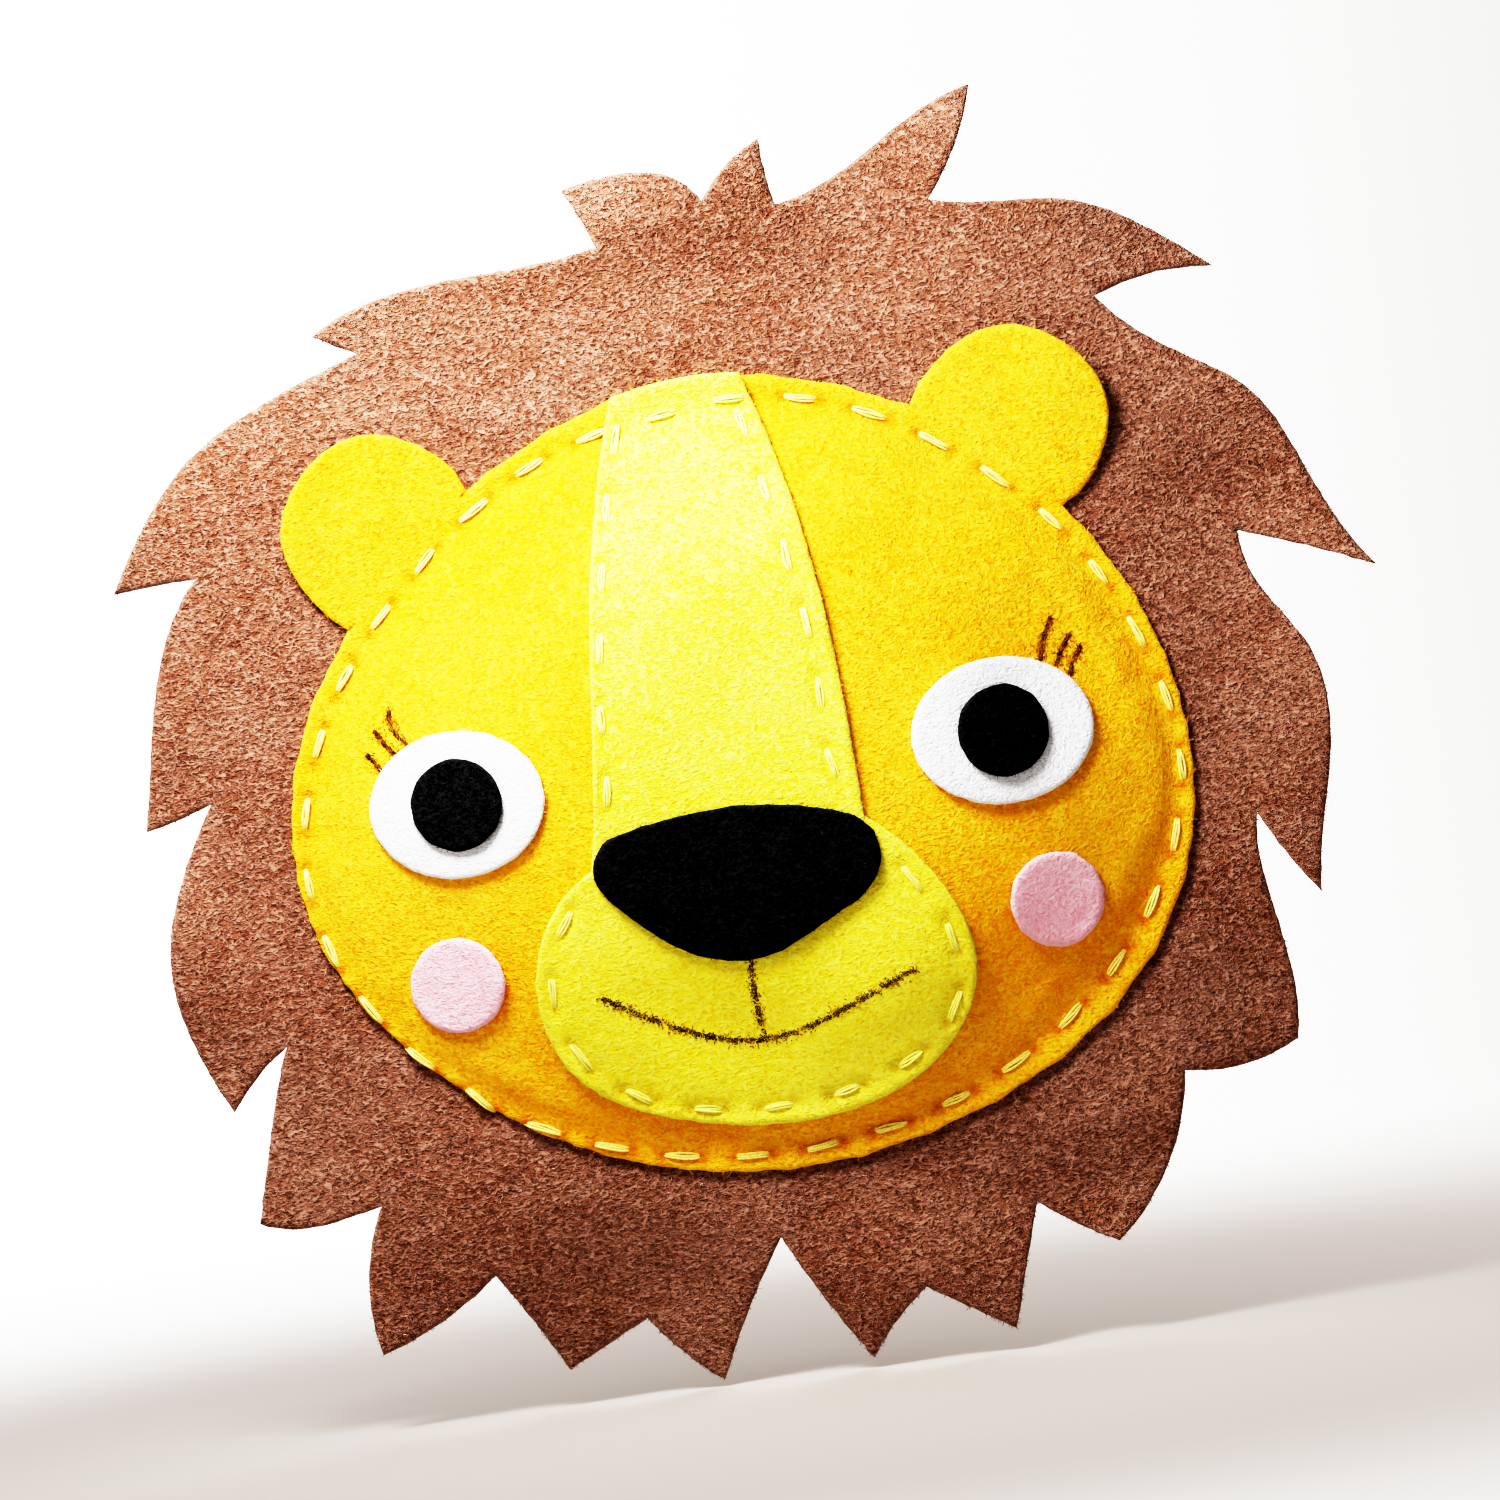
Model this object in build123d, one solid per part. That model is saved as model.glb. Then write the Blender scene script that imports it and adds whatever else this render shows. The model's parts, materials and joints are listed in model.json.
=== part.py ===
"""Felt lion-head hand puppet.

A padded face of golden felt is sewn to a single-layer felt mane with running stitches.
A snout panel, eyes, nose and cheeks are layered on the face, and a sewn pocket behind
the mane takes the hand.

Every piece is drawn lying face up: x runs across the face, y up the face and z out of it,
with the middle of the face at x = y = 0 and the mane's back on z = 0.  The finished pieces
are then stood up: face towards -Y, +Z up, origin on the mane's back at the pocket's mouth.
"""
import os
from math import atan2, degrees, hypot

from build123d import *

# Felt, thread and ink thicknesses, mm
MANE_FELT = 1.5
FELT = 1.2
THREAD = 0.5
THREAD_WIDTH = 1.0
INK = 0.15
INK_WIDTH = 1.0

# Stuffing: half an ellipsoid on the mane's front face
DOME_CENTRE = (-0.7, -1.0)
DOME_HALF_WIDTH = 53.0
DOME_HALF_HEIGHT = 45.5
DOME_DEPTH = 13.0

# Hand pocket: a quarter of an ellipsoid shell, open at the bottom, with a sewn flange
MOUTH_Y = -48.0
POCKET_HALF_WIDTH = 41.0
POCKET_LENGTH = 86.0
POCKET_BULGE = 19.0
FLANGE = 7.0

# Running stitches
SEAM_STITCHES = 36
SEAM_STITCH_LENGTH = 5.0
SEAM_RETURN_LENGTH = 3.6
SNOUT_STITCHES = 25
SNOUT_STITCH_LENGTH = 4.6
POCKET_STITCHES = 24
POCKET_STITCH_LENGTH = 5.0
# Height of the pocket's knot above the mouth, in the gap between the first two stitches
POCKET_KNOT_RISE = 9.0

# Details of the face
EYE_HEIGHT = 19.0
LEFT_EYE = (-37.6, 1.0)
LEFT_EYE_WIDTH = 23.0
RIGHT_EYE = (34.0, 1.0)
RIGHT_EYE_WIDTH = 24.0
PUPIL = 11.8
CHEEK = 12.4
LEFT_CHEEK = (-40.8, -22.4)
RIGHT_CHEEK = (38.2, -21.8)
KNOT = 1.1

# Larger than any piece, for cutting prisms and half spaces
BIG = 400.0

# The mane, clockwise from the notch left of the tallest lock.
# Each lock: the edge up to its tip, the tip, the edge down from it, the notch after it.
MANE_START = (14, 73.5)
LOCKS = [
    ([(27, 79), (35.5, 84)], (41.5, 86), [(40, 81.5)], (34, 71.5)),
    ([(42.5, 70), (52, 69), (63, 63.5)], (70, 58), [(61, 58)], (54, 56)),
    ([(65, 46.5), (72, 41.5), (79, 28.5)], (85.5, 16), [(76.5, 20)], (68.5, 23)),
    ([(71, 14), (75.5, 6.5), (77, -2.5), (75.5, -12)], (73, -25.5), [(70.5, -22)], (66, -14)),
    ([(65.5, -18), (67, -29.5), (68, -38)], (67.5, -44.5), [(62, -46.5)], (52, -46.5)),
    ([(49.5, -56), (46, -62)], (40.5, -67.5), [(36, -65)], (30.5, -61)),
    ([(28.5, -67)], (25.5, -77), [(20, -73.5)], (14.5, -70)),
    ([(11.5, -72.5)], (6.5, -78.5), [(3, -73)], (-3.5, -61)),
    ([(-7, -66.5)], (-13.5, -79), [(-17.5, -75.5)], (-22.5, -69.5)),
    ([(-26.5, -71.5)], (-33.5, -75), [(-37.5, -67.5)], (-41.5, -61)),
    ([(-45.5, -64), (-52, -67.5)], (-57.5, -69.5), [(-58.2, -62)], (-55, -50)),
    ([(-60, -51), (-66, -51.5)], (-71, -50), [(-69.5, -44), (-66.5, -33)], (-64.5, -27.5)),
    ([(-68.5, -30.5)], (-72.5, -35), [(-76, -27), (-78, -16), (-75.5, -5)], (-70, 5.5)),
    ([(-73, 4.5)], (-79, 3), [(-78, 8), (-75.5, 20), (-73, 27.5)], (-68, 35)),
    ([(-73, 35)], (-79, 34.5), [(-75, 41), (-67, 50.5), (-54, 57.5)], (-43, 61.5)),
    ([], (-48.5, 64.5), [(-40, 68), (-26.5, 69.5)], (-10, 71)),
    ([(-11.5, 75)], (-13.5, 79), [(-6, 80), (0.5, 79)], (4.5, 75)),
    ([(9, 80)], (13, 82.5), [(13.2, 78)], MANE_START),
]

# Each ear is cut in one with the face and bends along the line between its two notches.
LEFT_EAR = [(-31, 42), (-38.5, 49.3), (-44.5, 50.6), (-53, 45.5), (-56, 38.5), (-54, 31.5), (-49, 25.5)]
RIGHT_EAR = [(28, 45), (34.3, 51.5), (40.8, 53.6), (49, 50.2), (53.6, 42.5), (52.2, 35.5), (46.5, 29)]

# Felt edge of the face: over the top between the ears, then round the bottom between them
FACE_TOP = [(-31, 42), (-18, 48.7), (-2.5, 52.4), (14, 50.6), (28, 45)]
FACE_BOTTOM = [
    (46.5, 29), (54.5, 15.5), (58.5, 0), (57, -17.5), (45, -36.3), (24.5, -48.2), (-2, -52.5),
    (-27, -46.5), (-47.5, -31.7), (-59, -13), (-59.5, 5), (-55, 17), (-49, 25.5),
]
SEAM = [
    (0, 48.5), (17.5, 46.7), (33, 38), (46.3, 25), (54.5, 8.5), (57, -5.5), (53.5, -19),
    (41, -35), (22, -46), (0, -50), (-21.5, -47), (-38.5, -39), (-51.5, -26), (-58, -12),
    (-57.5, 3.5), (-50.3, 19.5), (-37, 34), (-18, 45.4),
]

# Snout panel: a strip down from the forehead that widens into the muzzle
STRIP_RIGHT = [(4, 58), (10.8, 35), (13.5, 14.5), (14.5, -7.5)]
MUZZLE = [
    (14.5, -7.5), (24, -18.7), (26.5, -28.7), (22.3, -38), (12.3, -44.3), (-2, -46),
    (-15.6, -43.3), (-27, -36.5), (-30.6, -26), (-27.5, -15.5), (-21.3, -10),
]
STRIP_LEFT = [(-21.3, -10), (-19.3, 3), (-17, 24), (-13.7, 41), (-8.5, 58)]
SNOUT_LINE = [
    (-9.5, 50), (-12.6, 39), (-15.7, 23), (-17.5, 8), (-20, -8), (-27, -18.5), (-28, -29.5),
    (-22.5, -37.8), (-13, -42.3), (0, -43.7), (13, -41.3), (22.5, -34.7), (23.7, -24.5),
    (18.2, -14.4), (12.5, -5), (11, 12), (8.7, 30), (4.8, 50),
]
NOSE_BAND = (-15.0, -2.0)

NOSE = [
    (-18, -6), (-9, -4.4), (0, -4.2), (9, -5.8), (15, -9), (15.7, -14), (8.5, -20),
    (-1, -23.8), (-9.5, -22.3), (-17, -16.5), (-21, -9.7),
]
SMILE = [(-22.2, -26.6), (-15, -30.8), (-2, -34.7), (8, -32.3), (18.4, -28.2)]
PHILTRUM = [(-2.4, -23), (-2.6, -28), (-2, -34.7)]
LEFT_LASHES = [
    [(-45, 14.2), (-44.6, 11.5), (-42.5, 9)],
    [(-47.3, 12), (-46, 10), (-44, 7.5)],
    [(-48.4, 8.8), (-46, 5.5)],
]
RIGHT_LASHES = [
    [(42.2, 14.4), (40.6, 11), (40, 8)],
    [(44.4, 12), (42.4, 9), (41.5, 6.5)],
    [(45.6, 10.2), (44.2, 8), (43, 5)],
]


def edge(points):
    """A straight cut between two points, or one smooth cut through more."""
    if len(points) == 2:
        return Line(*points)
    return Spline(*points)


def cut_from(edges):
    """The flat shape inside a closed run of edges."""
    return make_face(edges)


def padded_top(skin):
    """Everything below a surface that lies skin above the stuffing and above the mane."""
    dome = scale(
        Sphere(1, arc_size1=0, align=(Align.CENTER, Align.CENTER, Align.MIN)),
        by=(DOME_HALF_WIDTH + skin, DOME_HALF_HEIGHT + skin, DOME_DEPTH + skin),
    )
    body = Pos(*DOME_CENTRE, MANE_FELT) * dome
    if skin > 0:
        sheet = Box(BIG, BIG, skin, align=(Align.CENTER, Align.CENTER, Align.MIN))
        body += Pos(0, 0, MANE_FELT) * sheet
    return body


def laid_on_face(shape, low, high):
    """A flat shape draped over the padded face, filling the heights low to high above it."""
    column = extrude(shape, BIG / 2)
    return (column & padded_top(high)) - padded_top(low)


def flat_piece(shape, low, high):
    """A flat shape lying between two heights above the mane's back."""
    return Pos(0, 0, low) * extrude(shape, high - low)


def stitch_places(line, count, start=0.5):
    """Even places along a line: each gives its centre point and the line's angle there."""
    places = []
    for index in range(count):
        along = ((index + start) / count) % 1.0
        direction = line % along
        places.append((line @ along, degrees(atan2(direction.Y, direction.X))))
    return places


def stitch_shape(place, length):
    """The round-ended outline of one stitch."""
    centre, angle = place
    slot = SlotOverall(length, THREAD_WIDTH)
    return Pos(centre.X, centre.Y) * Rot(0, 0, angle) * slot


def ellipse_value(point, half_width, half_height, centre):
    """Under 1 inside the ellipse, over 1 outside it."""
    return hypot((point.X - centre[0]) / half_width, (point.Y - centre[1]) / half_height)


def on_flange(point):
    """True where the pocket's sewn flange, with a thread's width to spare, covers the mane."""
    mouth = (0, MOUTH_Y)
    if point.Y < MOUTH_Y - THREAD_WIDTH:
        return False
    inner = ellipse_value(
        point, POCKET_HALF_WIDTH - THREAD_WIDTH, POCKET_LENGTH - THREAD_WIDTH, mouth
    )
    outer = ellipse_value(
        point,
        POCKET_HALF_WIDTH + FLANGE + THREAD_WIDTH,
        POCKET_LENGTH + FLANGE + THREAD_WIDTH,
        mouth,
    )
    return inner > 1 and outer < 1


def clear_of_flange(place, length):
    """True where no part of a stitch behind the mane would lie under the pocket's flange."""
    centre, angle = place
    reach = Vector(length / 2, 0).rotate(Axis.Z, angle)
    return not any(on_flange(centre + reach * side) for side in (-1, 0, 1))


def strokes(lines, width):
    """Pen strokes of one width along several lines."""
    shape = Sketch()
    for points in lines:
        shape += trace(edge(points), width)
        for end in (points[0], points[-1]):
            shape += Pos(*end) * Circle(width / 2)
    return shape


def mane_shape():
    edges = []
    notch = MANE_START
    for rise, tip, fall, next_notch in LOCKS:
        edges.append(edge([notch, *rise, tip]))
        edges.append(edge([tip, *fall, next_notch]))
        notch = next_notch
    return cut_from(edges)


def face_shape():
    left_bend = Line(FACE_BOTTOM[-1], FACE_TOP[0])
    right_bend = Line(FACE_TOP[-1], FACE_BOTTOM[0])
    return cut_from([edge(FACE_TOP), right_bend, edge(FACE_BOTTOM), left_bend])


def ear_shape(points):
    return cut_from([edge(points), Line(points[-1], points[0])])


def snout_shape(face):
    top = Line(STRIP_LEFT[-1], STRIP_RIGHT[0])
    panel = cut_from([edge(STRIP_RIGHT), edge(MUZZLE), edge(STRIP_LEFT), top])
    return panel & face


def eye_shape(centre, width):
    return Pos(*centre) * Ellipse(width / 2, EYE_HEIGHT / 2)


def round_shape(centre, diameter):
    return Pos(*centre) * Circle(diameter / 2)


def seam_stitches(snout):
    """The face seam's front stitches, and its short returns behind the mane."""
    line = Spline(*SEAM, periodic=True)
    pieces = []
    for place in stitch_places(line, SEAM_STITCHES):
        shape = stitch_shape(place, SEAM_STITCH_LENGTH)
        layers = 1
        if (shape & snout).area > shape.area / 2:
            layers = 2
        base = layers * FELT
        if layers == 2:
            shape = shape & snout
        else:
            shape = shape - snout
        pieces += laid_on_face(shape, base, base + THREAD).solids()
    for place in stitch_places(line, SEAM_STITCHES, start=0.0):
        if clear_of_flange(place, SEAM_RETURN_LENGTH):
            shape = stitch_shape(place, SEAM_RETURN_LENGTH)
            pieces += flat_piece(shape, -THREAD, 0).solids()
    return Compound(children=pieces)


def snout_stitches():
    line = Spline(*SNOUT_LINE)
    pieces = []
    for place in stitch_places(line, SNOUT_STITCHES):
        centre = place[0]
        if not NOSE_BAND[0] < centre.Y < NOSE_BAND[1]:
            shape = stitch_shape(place, SNOUT_STITCH_LENGTH)
            pieces += laid_on_face(shape, 2 * FELT, 2 * FELT + THREAD).solids()
    return Compound(children=pieces)


def half_space_of_pocket():
    """The space behind the mane and above the pocket's mouth."""
    block = Box(BIG, BIG, BIG, align=(Align.CENTER, Align.MIN, Align.MAX))
    return Pos(0, MOUTH_Y, 0) * block


def hand_pocket():
    outer = scale(
        Sphere(1),
        by=(POCKET_HALF_WIDTH + MANE_FELT, POCKET_LENGTH + MANE_FELT, POCKET_BULGE + MANE_FELT),
    )
    inner = scale(Sphere(1), by=(POCKET_HALF_WIDTH, POCKET_LENGTH, POCKET_BULGE))
    rim = Ellipse(POCKET_HALF_WIDTH + FLANGE, POCKET_LENGTH + FLANGE)
    flange = Pos(0, 0, -MANE_FELT) * extrude(rim, MANE_FELT)
    shell = Pos(0, MOUTH_Y, 0) * ((outer + flange) - inner)
    return shell & half_space_of_pocket()


def pocket_stitches():
    """Running stitches along the middle of the flange, from one mouth corner to the other."""
    arch = EllipticalCenterArc(
        (0, MOUTH_Y),
        POCKET_HALF_WIDTH + MANE_FELT / 2 + FLANGE / 2,
        POCKET_LENGTH + MANE_FELT / 2 + FLANGE / 2,
        arc_size=180,
    )
    pieces = []
    for place in stitch_places(arch, POCKET_STITCHES):
        shape = stitch_shape(place, POCKET_STITCH_LENGTH)
        pieces += flat_piece(shape, -MANE_FELT - THREAD, -MANE_FELT).solids()
    return Compound(children=pieces)


def knot(x, y, top):
    """A small flattened thread knot hanging under the height top."""
    ball = scale(
        Sphere(1, arc_size2=0, align=(Align.CENTER, Align.CENTER, Align.MAX)),
        by=(KNOT * 1.2, KNOT, KNOT),
    )
    return Pos(x, y, top) * ball


def stood_up(piece):
    """Turns a piece drawn face up to face -Y, with the pocket's mouth at height 0."""
    return Pos(0, 0, -MOUTH_Y) * Plane.XZ.location * piece


def main():
    face = face_shape()
    snout = snout_shape(face)
    nose = cut_from([Spline(*NOSE, periodic=True)])
    left_eye = eye_shape(LEFT_EYE, LEFT_EYE_WIDTH)
    right_eye = eye_shape(RIGHT_EYE, RIGHT_EYE_WIDTH)
    mouth = strokes([SMILE, PHILTRUM], INK_WIDTH) - nose
    left_lashes = strokes(LEFT_LASHES, INK_WIDTH * 0.7) - left_eye
    right_lashes = strokes(RIGHT_LASHES, INK_WIDTH * 0.7) - right_eye

    pieces = {
        "mane": flat_piece(mane_shape(), 0, MANE_FELT),
        "stuffing": padded_top(0),
        "face_felt": laid_on_face(face, 0, FELT),
        "left_ear": flat_piece(ear_shape(LEFT_EAR), MANE_FELT, MANE_FELT + FELT),
        "right_ear": flat_piece(ear_shape(RIGHT_EAR), MANE_FELT, MANE_FELT + FELT),
        "snout_panel": laid_on_face(snout, FELT, 2 * FELT),
        "nose": laid_on_face(nose, 2 * FELT, 3 * FELT),
        "left_eye_white": laid_on_face(left_eye, FELT, 2 * FELT),
        "right_eye_white": laid_on_face(right_eye, FELT, 2 * FELT),
        "left_pupil": laid_on_face(round_shape(LEFT_EYE, PUPIL), 2 * FELT, 3 * FELT),
        "right_pupil": laid_on_face(round_shape(RIGHT_EYE, PUPIL), 2 * FELT, 3 * FELT),
        "left_cheek": laid_on_face(round_shape(LEFT_CHEEK, CHEEK), FELT, 2 * FELT),
        "right_cheek": laid_on_face(round_shape(RIGHT_CHEEK, CHEEK), FELT, 2 * FELT),
        "mouth_line": laid_on_face(mouth, 2 * FELT, 2 * FELT + INK),
        "left_lashes": laid_on_face(left_lashes, FELT, FELT + INK),
        "right_lashes": laid_on_face(right_lashes, FELT, FELT + INK),
        "face_seam_stitches": seam_stitches(snout),
        "snout_stitches": snout_stitches(),
        "hand_pocket": hand_pocket(),
        "pocket_stitches": pocket_stitches(),
        "seam_knot": knot(8, 51.5, 0),
        "pocket_knot": knot(POCKET_HALF_WIDTH + FLANGE / 2, MOUTH_Y + POCKET_KNOT_RISE, -MANE_FELT),
    }

    os.makedirs("parts", exist_ok=True)
    for name, piece in pieces.items():
        export_step(stood_up(piece), f"parts/{name}.step")


main()
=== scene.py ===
"""Felt lion-head hand puppet: the cut felt, its padding, thread, ink, loose fibres and light.

The work is done in millimetres on a flat table: x runs across the face, y up it, and a
height stands out of the mane's back, towards the viewer.  world() turns those places into
the frame's metres.  Outlines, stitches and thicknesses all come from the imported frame.
"""

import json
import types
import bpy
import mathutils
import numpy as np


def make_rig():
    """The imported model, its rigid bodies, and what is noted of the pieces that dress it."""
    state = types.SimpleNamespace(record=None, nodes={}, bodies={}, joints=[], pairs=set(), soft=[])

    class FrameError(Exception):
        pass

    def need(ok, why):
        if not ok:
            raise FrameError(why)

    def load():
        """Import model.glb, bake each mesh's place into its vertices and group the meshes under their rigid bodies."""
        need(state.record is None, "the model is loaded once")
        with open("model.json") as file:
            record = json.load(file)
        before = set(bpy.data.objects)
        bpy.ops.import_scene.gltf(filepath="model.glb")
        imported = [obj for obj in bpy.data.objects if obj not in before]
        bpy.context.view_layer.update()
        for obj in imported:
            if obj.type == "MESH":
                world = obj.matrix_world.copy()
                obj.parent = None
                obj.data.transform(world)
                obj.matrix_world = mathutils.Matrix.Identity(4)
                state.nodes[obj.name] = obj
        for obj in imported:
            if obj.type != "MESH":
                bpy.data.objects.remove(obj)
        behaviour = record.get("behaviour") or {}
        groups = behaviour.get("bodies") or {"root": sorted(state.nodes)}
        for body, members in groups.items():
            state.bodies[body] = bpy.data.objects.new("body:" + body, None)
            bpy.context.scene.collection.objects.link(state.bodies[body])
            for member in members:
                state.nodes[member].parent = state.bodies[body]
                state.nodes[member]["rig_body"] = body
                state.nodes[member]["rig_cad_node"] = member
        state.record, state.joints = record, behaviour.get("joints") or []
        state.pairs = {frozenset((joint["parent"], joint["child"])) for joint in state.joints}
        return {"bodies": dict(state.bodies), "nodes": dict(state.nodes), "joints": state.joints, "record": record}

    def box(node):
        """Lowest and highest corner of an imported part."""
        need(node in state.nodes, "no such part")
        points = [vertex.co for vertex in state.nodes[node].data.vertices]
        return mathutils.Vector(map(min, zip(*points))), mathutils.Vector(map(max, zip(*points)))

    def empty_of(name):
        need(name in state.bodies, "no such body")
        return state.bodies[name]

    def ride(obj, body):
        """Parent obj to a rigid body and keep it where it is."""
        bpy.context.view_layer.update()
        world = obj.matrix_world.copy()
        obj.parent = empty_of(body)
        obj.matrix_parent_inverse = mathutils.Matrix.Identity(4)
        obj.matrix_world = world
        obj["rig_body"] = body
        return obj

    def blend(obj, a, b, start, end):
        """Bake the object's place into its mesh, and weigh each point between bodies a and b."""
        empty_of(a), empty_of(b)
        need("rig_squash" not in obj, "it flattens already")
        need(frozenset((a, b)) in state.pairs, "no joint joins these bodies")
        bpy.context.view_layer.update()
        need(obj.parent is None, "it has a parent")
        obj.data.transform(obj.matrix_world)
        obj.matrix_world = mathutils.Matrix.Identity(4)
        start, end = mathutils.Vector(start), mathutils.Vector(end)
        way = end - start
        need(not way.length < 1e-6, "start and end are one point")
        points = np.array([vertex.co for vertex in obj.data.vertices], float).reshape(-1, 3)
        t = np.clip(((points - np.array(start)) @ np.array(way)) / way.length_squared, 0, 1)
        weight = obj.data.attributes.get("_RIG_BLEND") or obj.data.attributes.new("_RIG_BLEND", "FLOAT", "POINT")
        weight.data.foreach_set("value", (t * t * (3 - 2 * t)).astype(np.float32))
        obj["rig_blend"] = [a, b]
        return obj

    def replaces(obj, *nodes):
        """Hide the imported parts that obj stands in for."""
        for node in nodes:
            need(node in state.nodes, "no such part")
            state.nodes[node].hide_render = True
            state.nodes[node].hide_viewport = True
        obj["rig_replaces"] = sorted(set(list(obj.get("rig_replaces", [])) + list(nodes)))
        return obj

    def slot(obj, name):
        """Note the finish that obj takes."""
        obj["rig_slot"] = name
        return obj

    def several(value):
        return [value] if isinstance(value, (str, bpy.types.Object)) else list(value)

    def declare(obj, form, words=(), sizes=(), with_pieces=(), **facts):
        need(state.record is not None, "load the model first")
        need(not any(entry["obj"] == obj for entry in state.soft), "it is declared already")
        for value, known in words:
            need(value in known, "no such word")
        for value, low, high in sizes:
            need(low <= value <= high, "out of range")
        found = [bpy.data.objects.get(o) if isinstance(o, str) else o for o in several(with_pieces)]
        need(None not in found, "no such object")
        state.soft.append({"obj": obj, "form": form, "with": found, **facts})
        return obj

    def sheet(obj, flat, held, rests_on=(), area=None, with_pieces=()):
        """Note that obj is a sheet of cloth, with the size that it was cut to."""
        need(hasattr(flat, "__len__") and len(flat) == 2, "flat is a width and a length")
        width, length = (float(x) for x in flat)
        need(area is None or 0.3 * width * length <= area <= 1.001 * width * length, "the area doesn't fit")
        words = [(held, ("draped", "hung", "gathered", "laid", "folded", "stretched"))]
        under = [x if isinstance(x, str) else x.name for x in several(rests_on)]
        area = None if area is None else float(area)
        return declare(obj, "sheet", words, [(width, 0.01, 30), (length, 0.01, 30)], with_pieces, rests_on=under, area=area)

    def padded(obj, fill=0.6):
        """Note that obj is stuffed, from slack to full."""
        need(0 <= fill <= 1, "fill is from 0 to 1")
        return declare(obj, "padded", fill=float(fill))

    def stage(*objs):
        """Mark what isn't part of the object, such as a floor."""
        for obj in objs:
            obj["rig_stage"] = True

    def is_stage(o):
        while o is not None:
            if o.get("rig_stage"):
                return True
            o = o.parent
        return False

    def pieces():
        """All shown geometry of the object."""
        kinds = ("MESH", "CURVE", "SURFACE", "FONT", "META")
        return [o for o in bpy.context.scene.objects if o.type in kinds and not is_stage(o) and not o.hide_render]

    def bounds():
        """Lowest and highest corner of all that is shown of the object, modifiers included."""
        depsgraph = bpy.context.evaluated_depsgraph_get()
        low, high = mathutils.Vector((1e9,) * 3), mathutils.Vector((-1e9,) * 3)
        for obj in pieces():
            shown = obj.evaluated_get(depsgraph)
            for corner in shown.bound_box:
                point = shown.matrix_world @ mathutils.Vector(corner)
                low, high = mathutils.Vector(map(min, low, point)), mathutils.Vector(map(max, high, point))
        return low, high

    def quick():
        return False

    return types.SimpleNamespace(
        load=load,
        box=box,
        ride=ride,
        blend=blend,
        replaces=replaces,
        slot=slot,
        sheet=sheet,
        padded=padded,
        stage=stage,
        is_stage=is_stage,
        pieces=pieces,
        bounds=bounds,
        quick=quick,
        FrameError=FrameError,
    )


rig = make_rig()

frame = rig.load()
CAD_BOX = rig.bounds()

import json
import math

import bmesh
import bpy
import numpy as np
from mathutils import Vector, geometry, kdtree
from mathutils.bvhtree import BVHTree

MM = 0.001


def cad_box(node):
    """A CAD node's lowest and highest table places (x, y, height), in millimetres."""
    low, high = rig.box(node)
    lowest = np.array([low.x, low.z, -high.y]) / MM
    highest = np.array([high.x, high.z, -low.y]) / MM
    return lowest, highest


# Sizes that the frame gives, in millimetres
MANE_FELT = cad_box("mane")[1][2]
FELT = cad_box("left_ear")[1][2] - cad_box("left_ear")[0][2]
CROWN = cad_box("stuffing")[1][2] - cad_box("stuffing")[0][2]
FACE_MIDDLE = (cad_box("face_felt")[0][:2] + cad_box("face_felt")[1][:2]) / 2

# How the felt is cut and sewn, in millimetres: the two threads are given as radii
CORNER = math.radians(28)
EDGE_ROUND = 0.45
EDGE_BULGE = 0.09
STITCH_SINK = 0.8
FLOSS = 0.36
BROWN_THREAD = 0.28

# CAD points this near to each other are one point
WELD = 0.002

# The cloth that is padded out
CLOTH_STEP = 1.7
CLOTH_FRAMES = 20
CLOTH_SETTINGS = {
    "quality": 8,
    "use_pressure": True,
    "uniform_pressure_force": 4.0,
    "vertex_group_pressure": "padded",
    "vertex_group_mass": "held",
    "shrink_min": -0.01,
    "tension_stiffness": 12,
    "compression_stiffness": 6,
    "bending_stiffness": 1.5,
}
HELD_REACH = 1.3

# How far seam and snout stitches pull the padded face down, and how wide the dents are
STITCH_PULL = 0.45
SEAM_PULL = 0.12
SEAM_STITCH_REACH = 1.1
SEAM_REACH = 0.9
SNOUT_STITCH_REACH = 0.85

# The shoulder of the padded face: how far in it reaches, and the share of it that is evened
SHOULDER_REACH = 22
SHOULDER_SHARE = 0.65

# How far the ears lift off the mane, and where they bend
EAR_LIFT = 2.4
EAR_WAVE = 0.25
EAR_BEND = 4


# ------------ places and outlines
def world(places):
    """Table places (x, y, height) as metres in the frame."""
    places = np.asarray(places, float)
    return np.stack([places[..., 0], -places[..., 2], places[..., 1]], axis=-1) * MM


def raised(points, height):
    """Flat table points with a height each."""
    return np.column_stack([points, np.broadcast_to(height, len(points))])


def ripple(points, wavelength, seed, waves=8):
    """A smooth random surface of about unit height: a few plane waves added up."""
    rng = np.random.default_rng(seed)
    total = np.zeros(len(points))
    for _ in range(waves):
        heading, phase = rng.uniform(0, 2 * math.pi, 2)
        length = wavelength * rng.uniform(0.7, 1.5)
        along = points[:, 0] * math.cos(heading) + points[:, 1] * math.sin(heading)
        total += np.sin(2 * math.pi * along / length + phase)
    return total / math.sqrt(waves / 2)


def placed(name, data):
    """A new object in the scene."""
    thing = bpy.data.objects.new(name, data)
    bpy.context.scene.collection.objects.link(thing)
    return thing


def smoothstep(value, low, high):
    t = np.clip((value - low) / (high - low), 0, 1)
    return t * t * (3 - 2 * t)


def lengths(vectors):
    return np.maximum(np.linalg.norm(vectors, axis=-1), 1e-9)


def cross(a, b):
    return a[..., 0] * b[..., 1] - a[..., 1] * b[..., 0]


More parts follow.
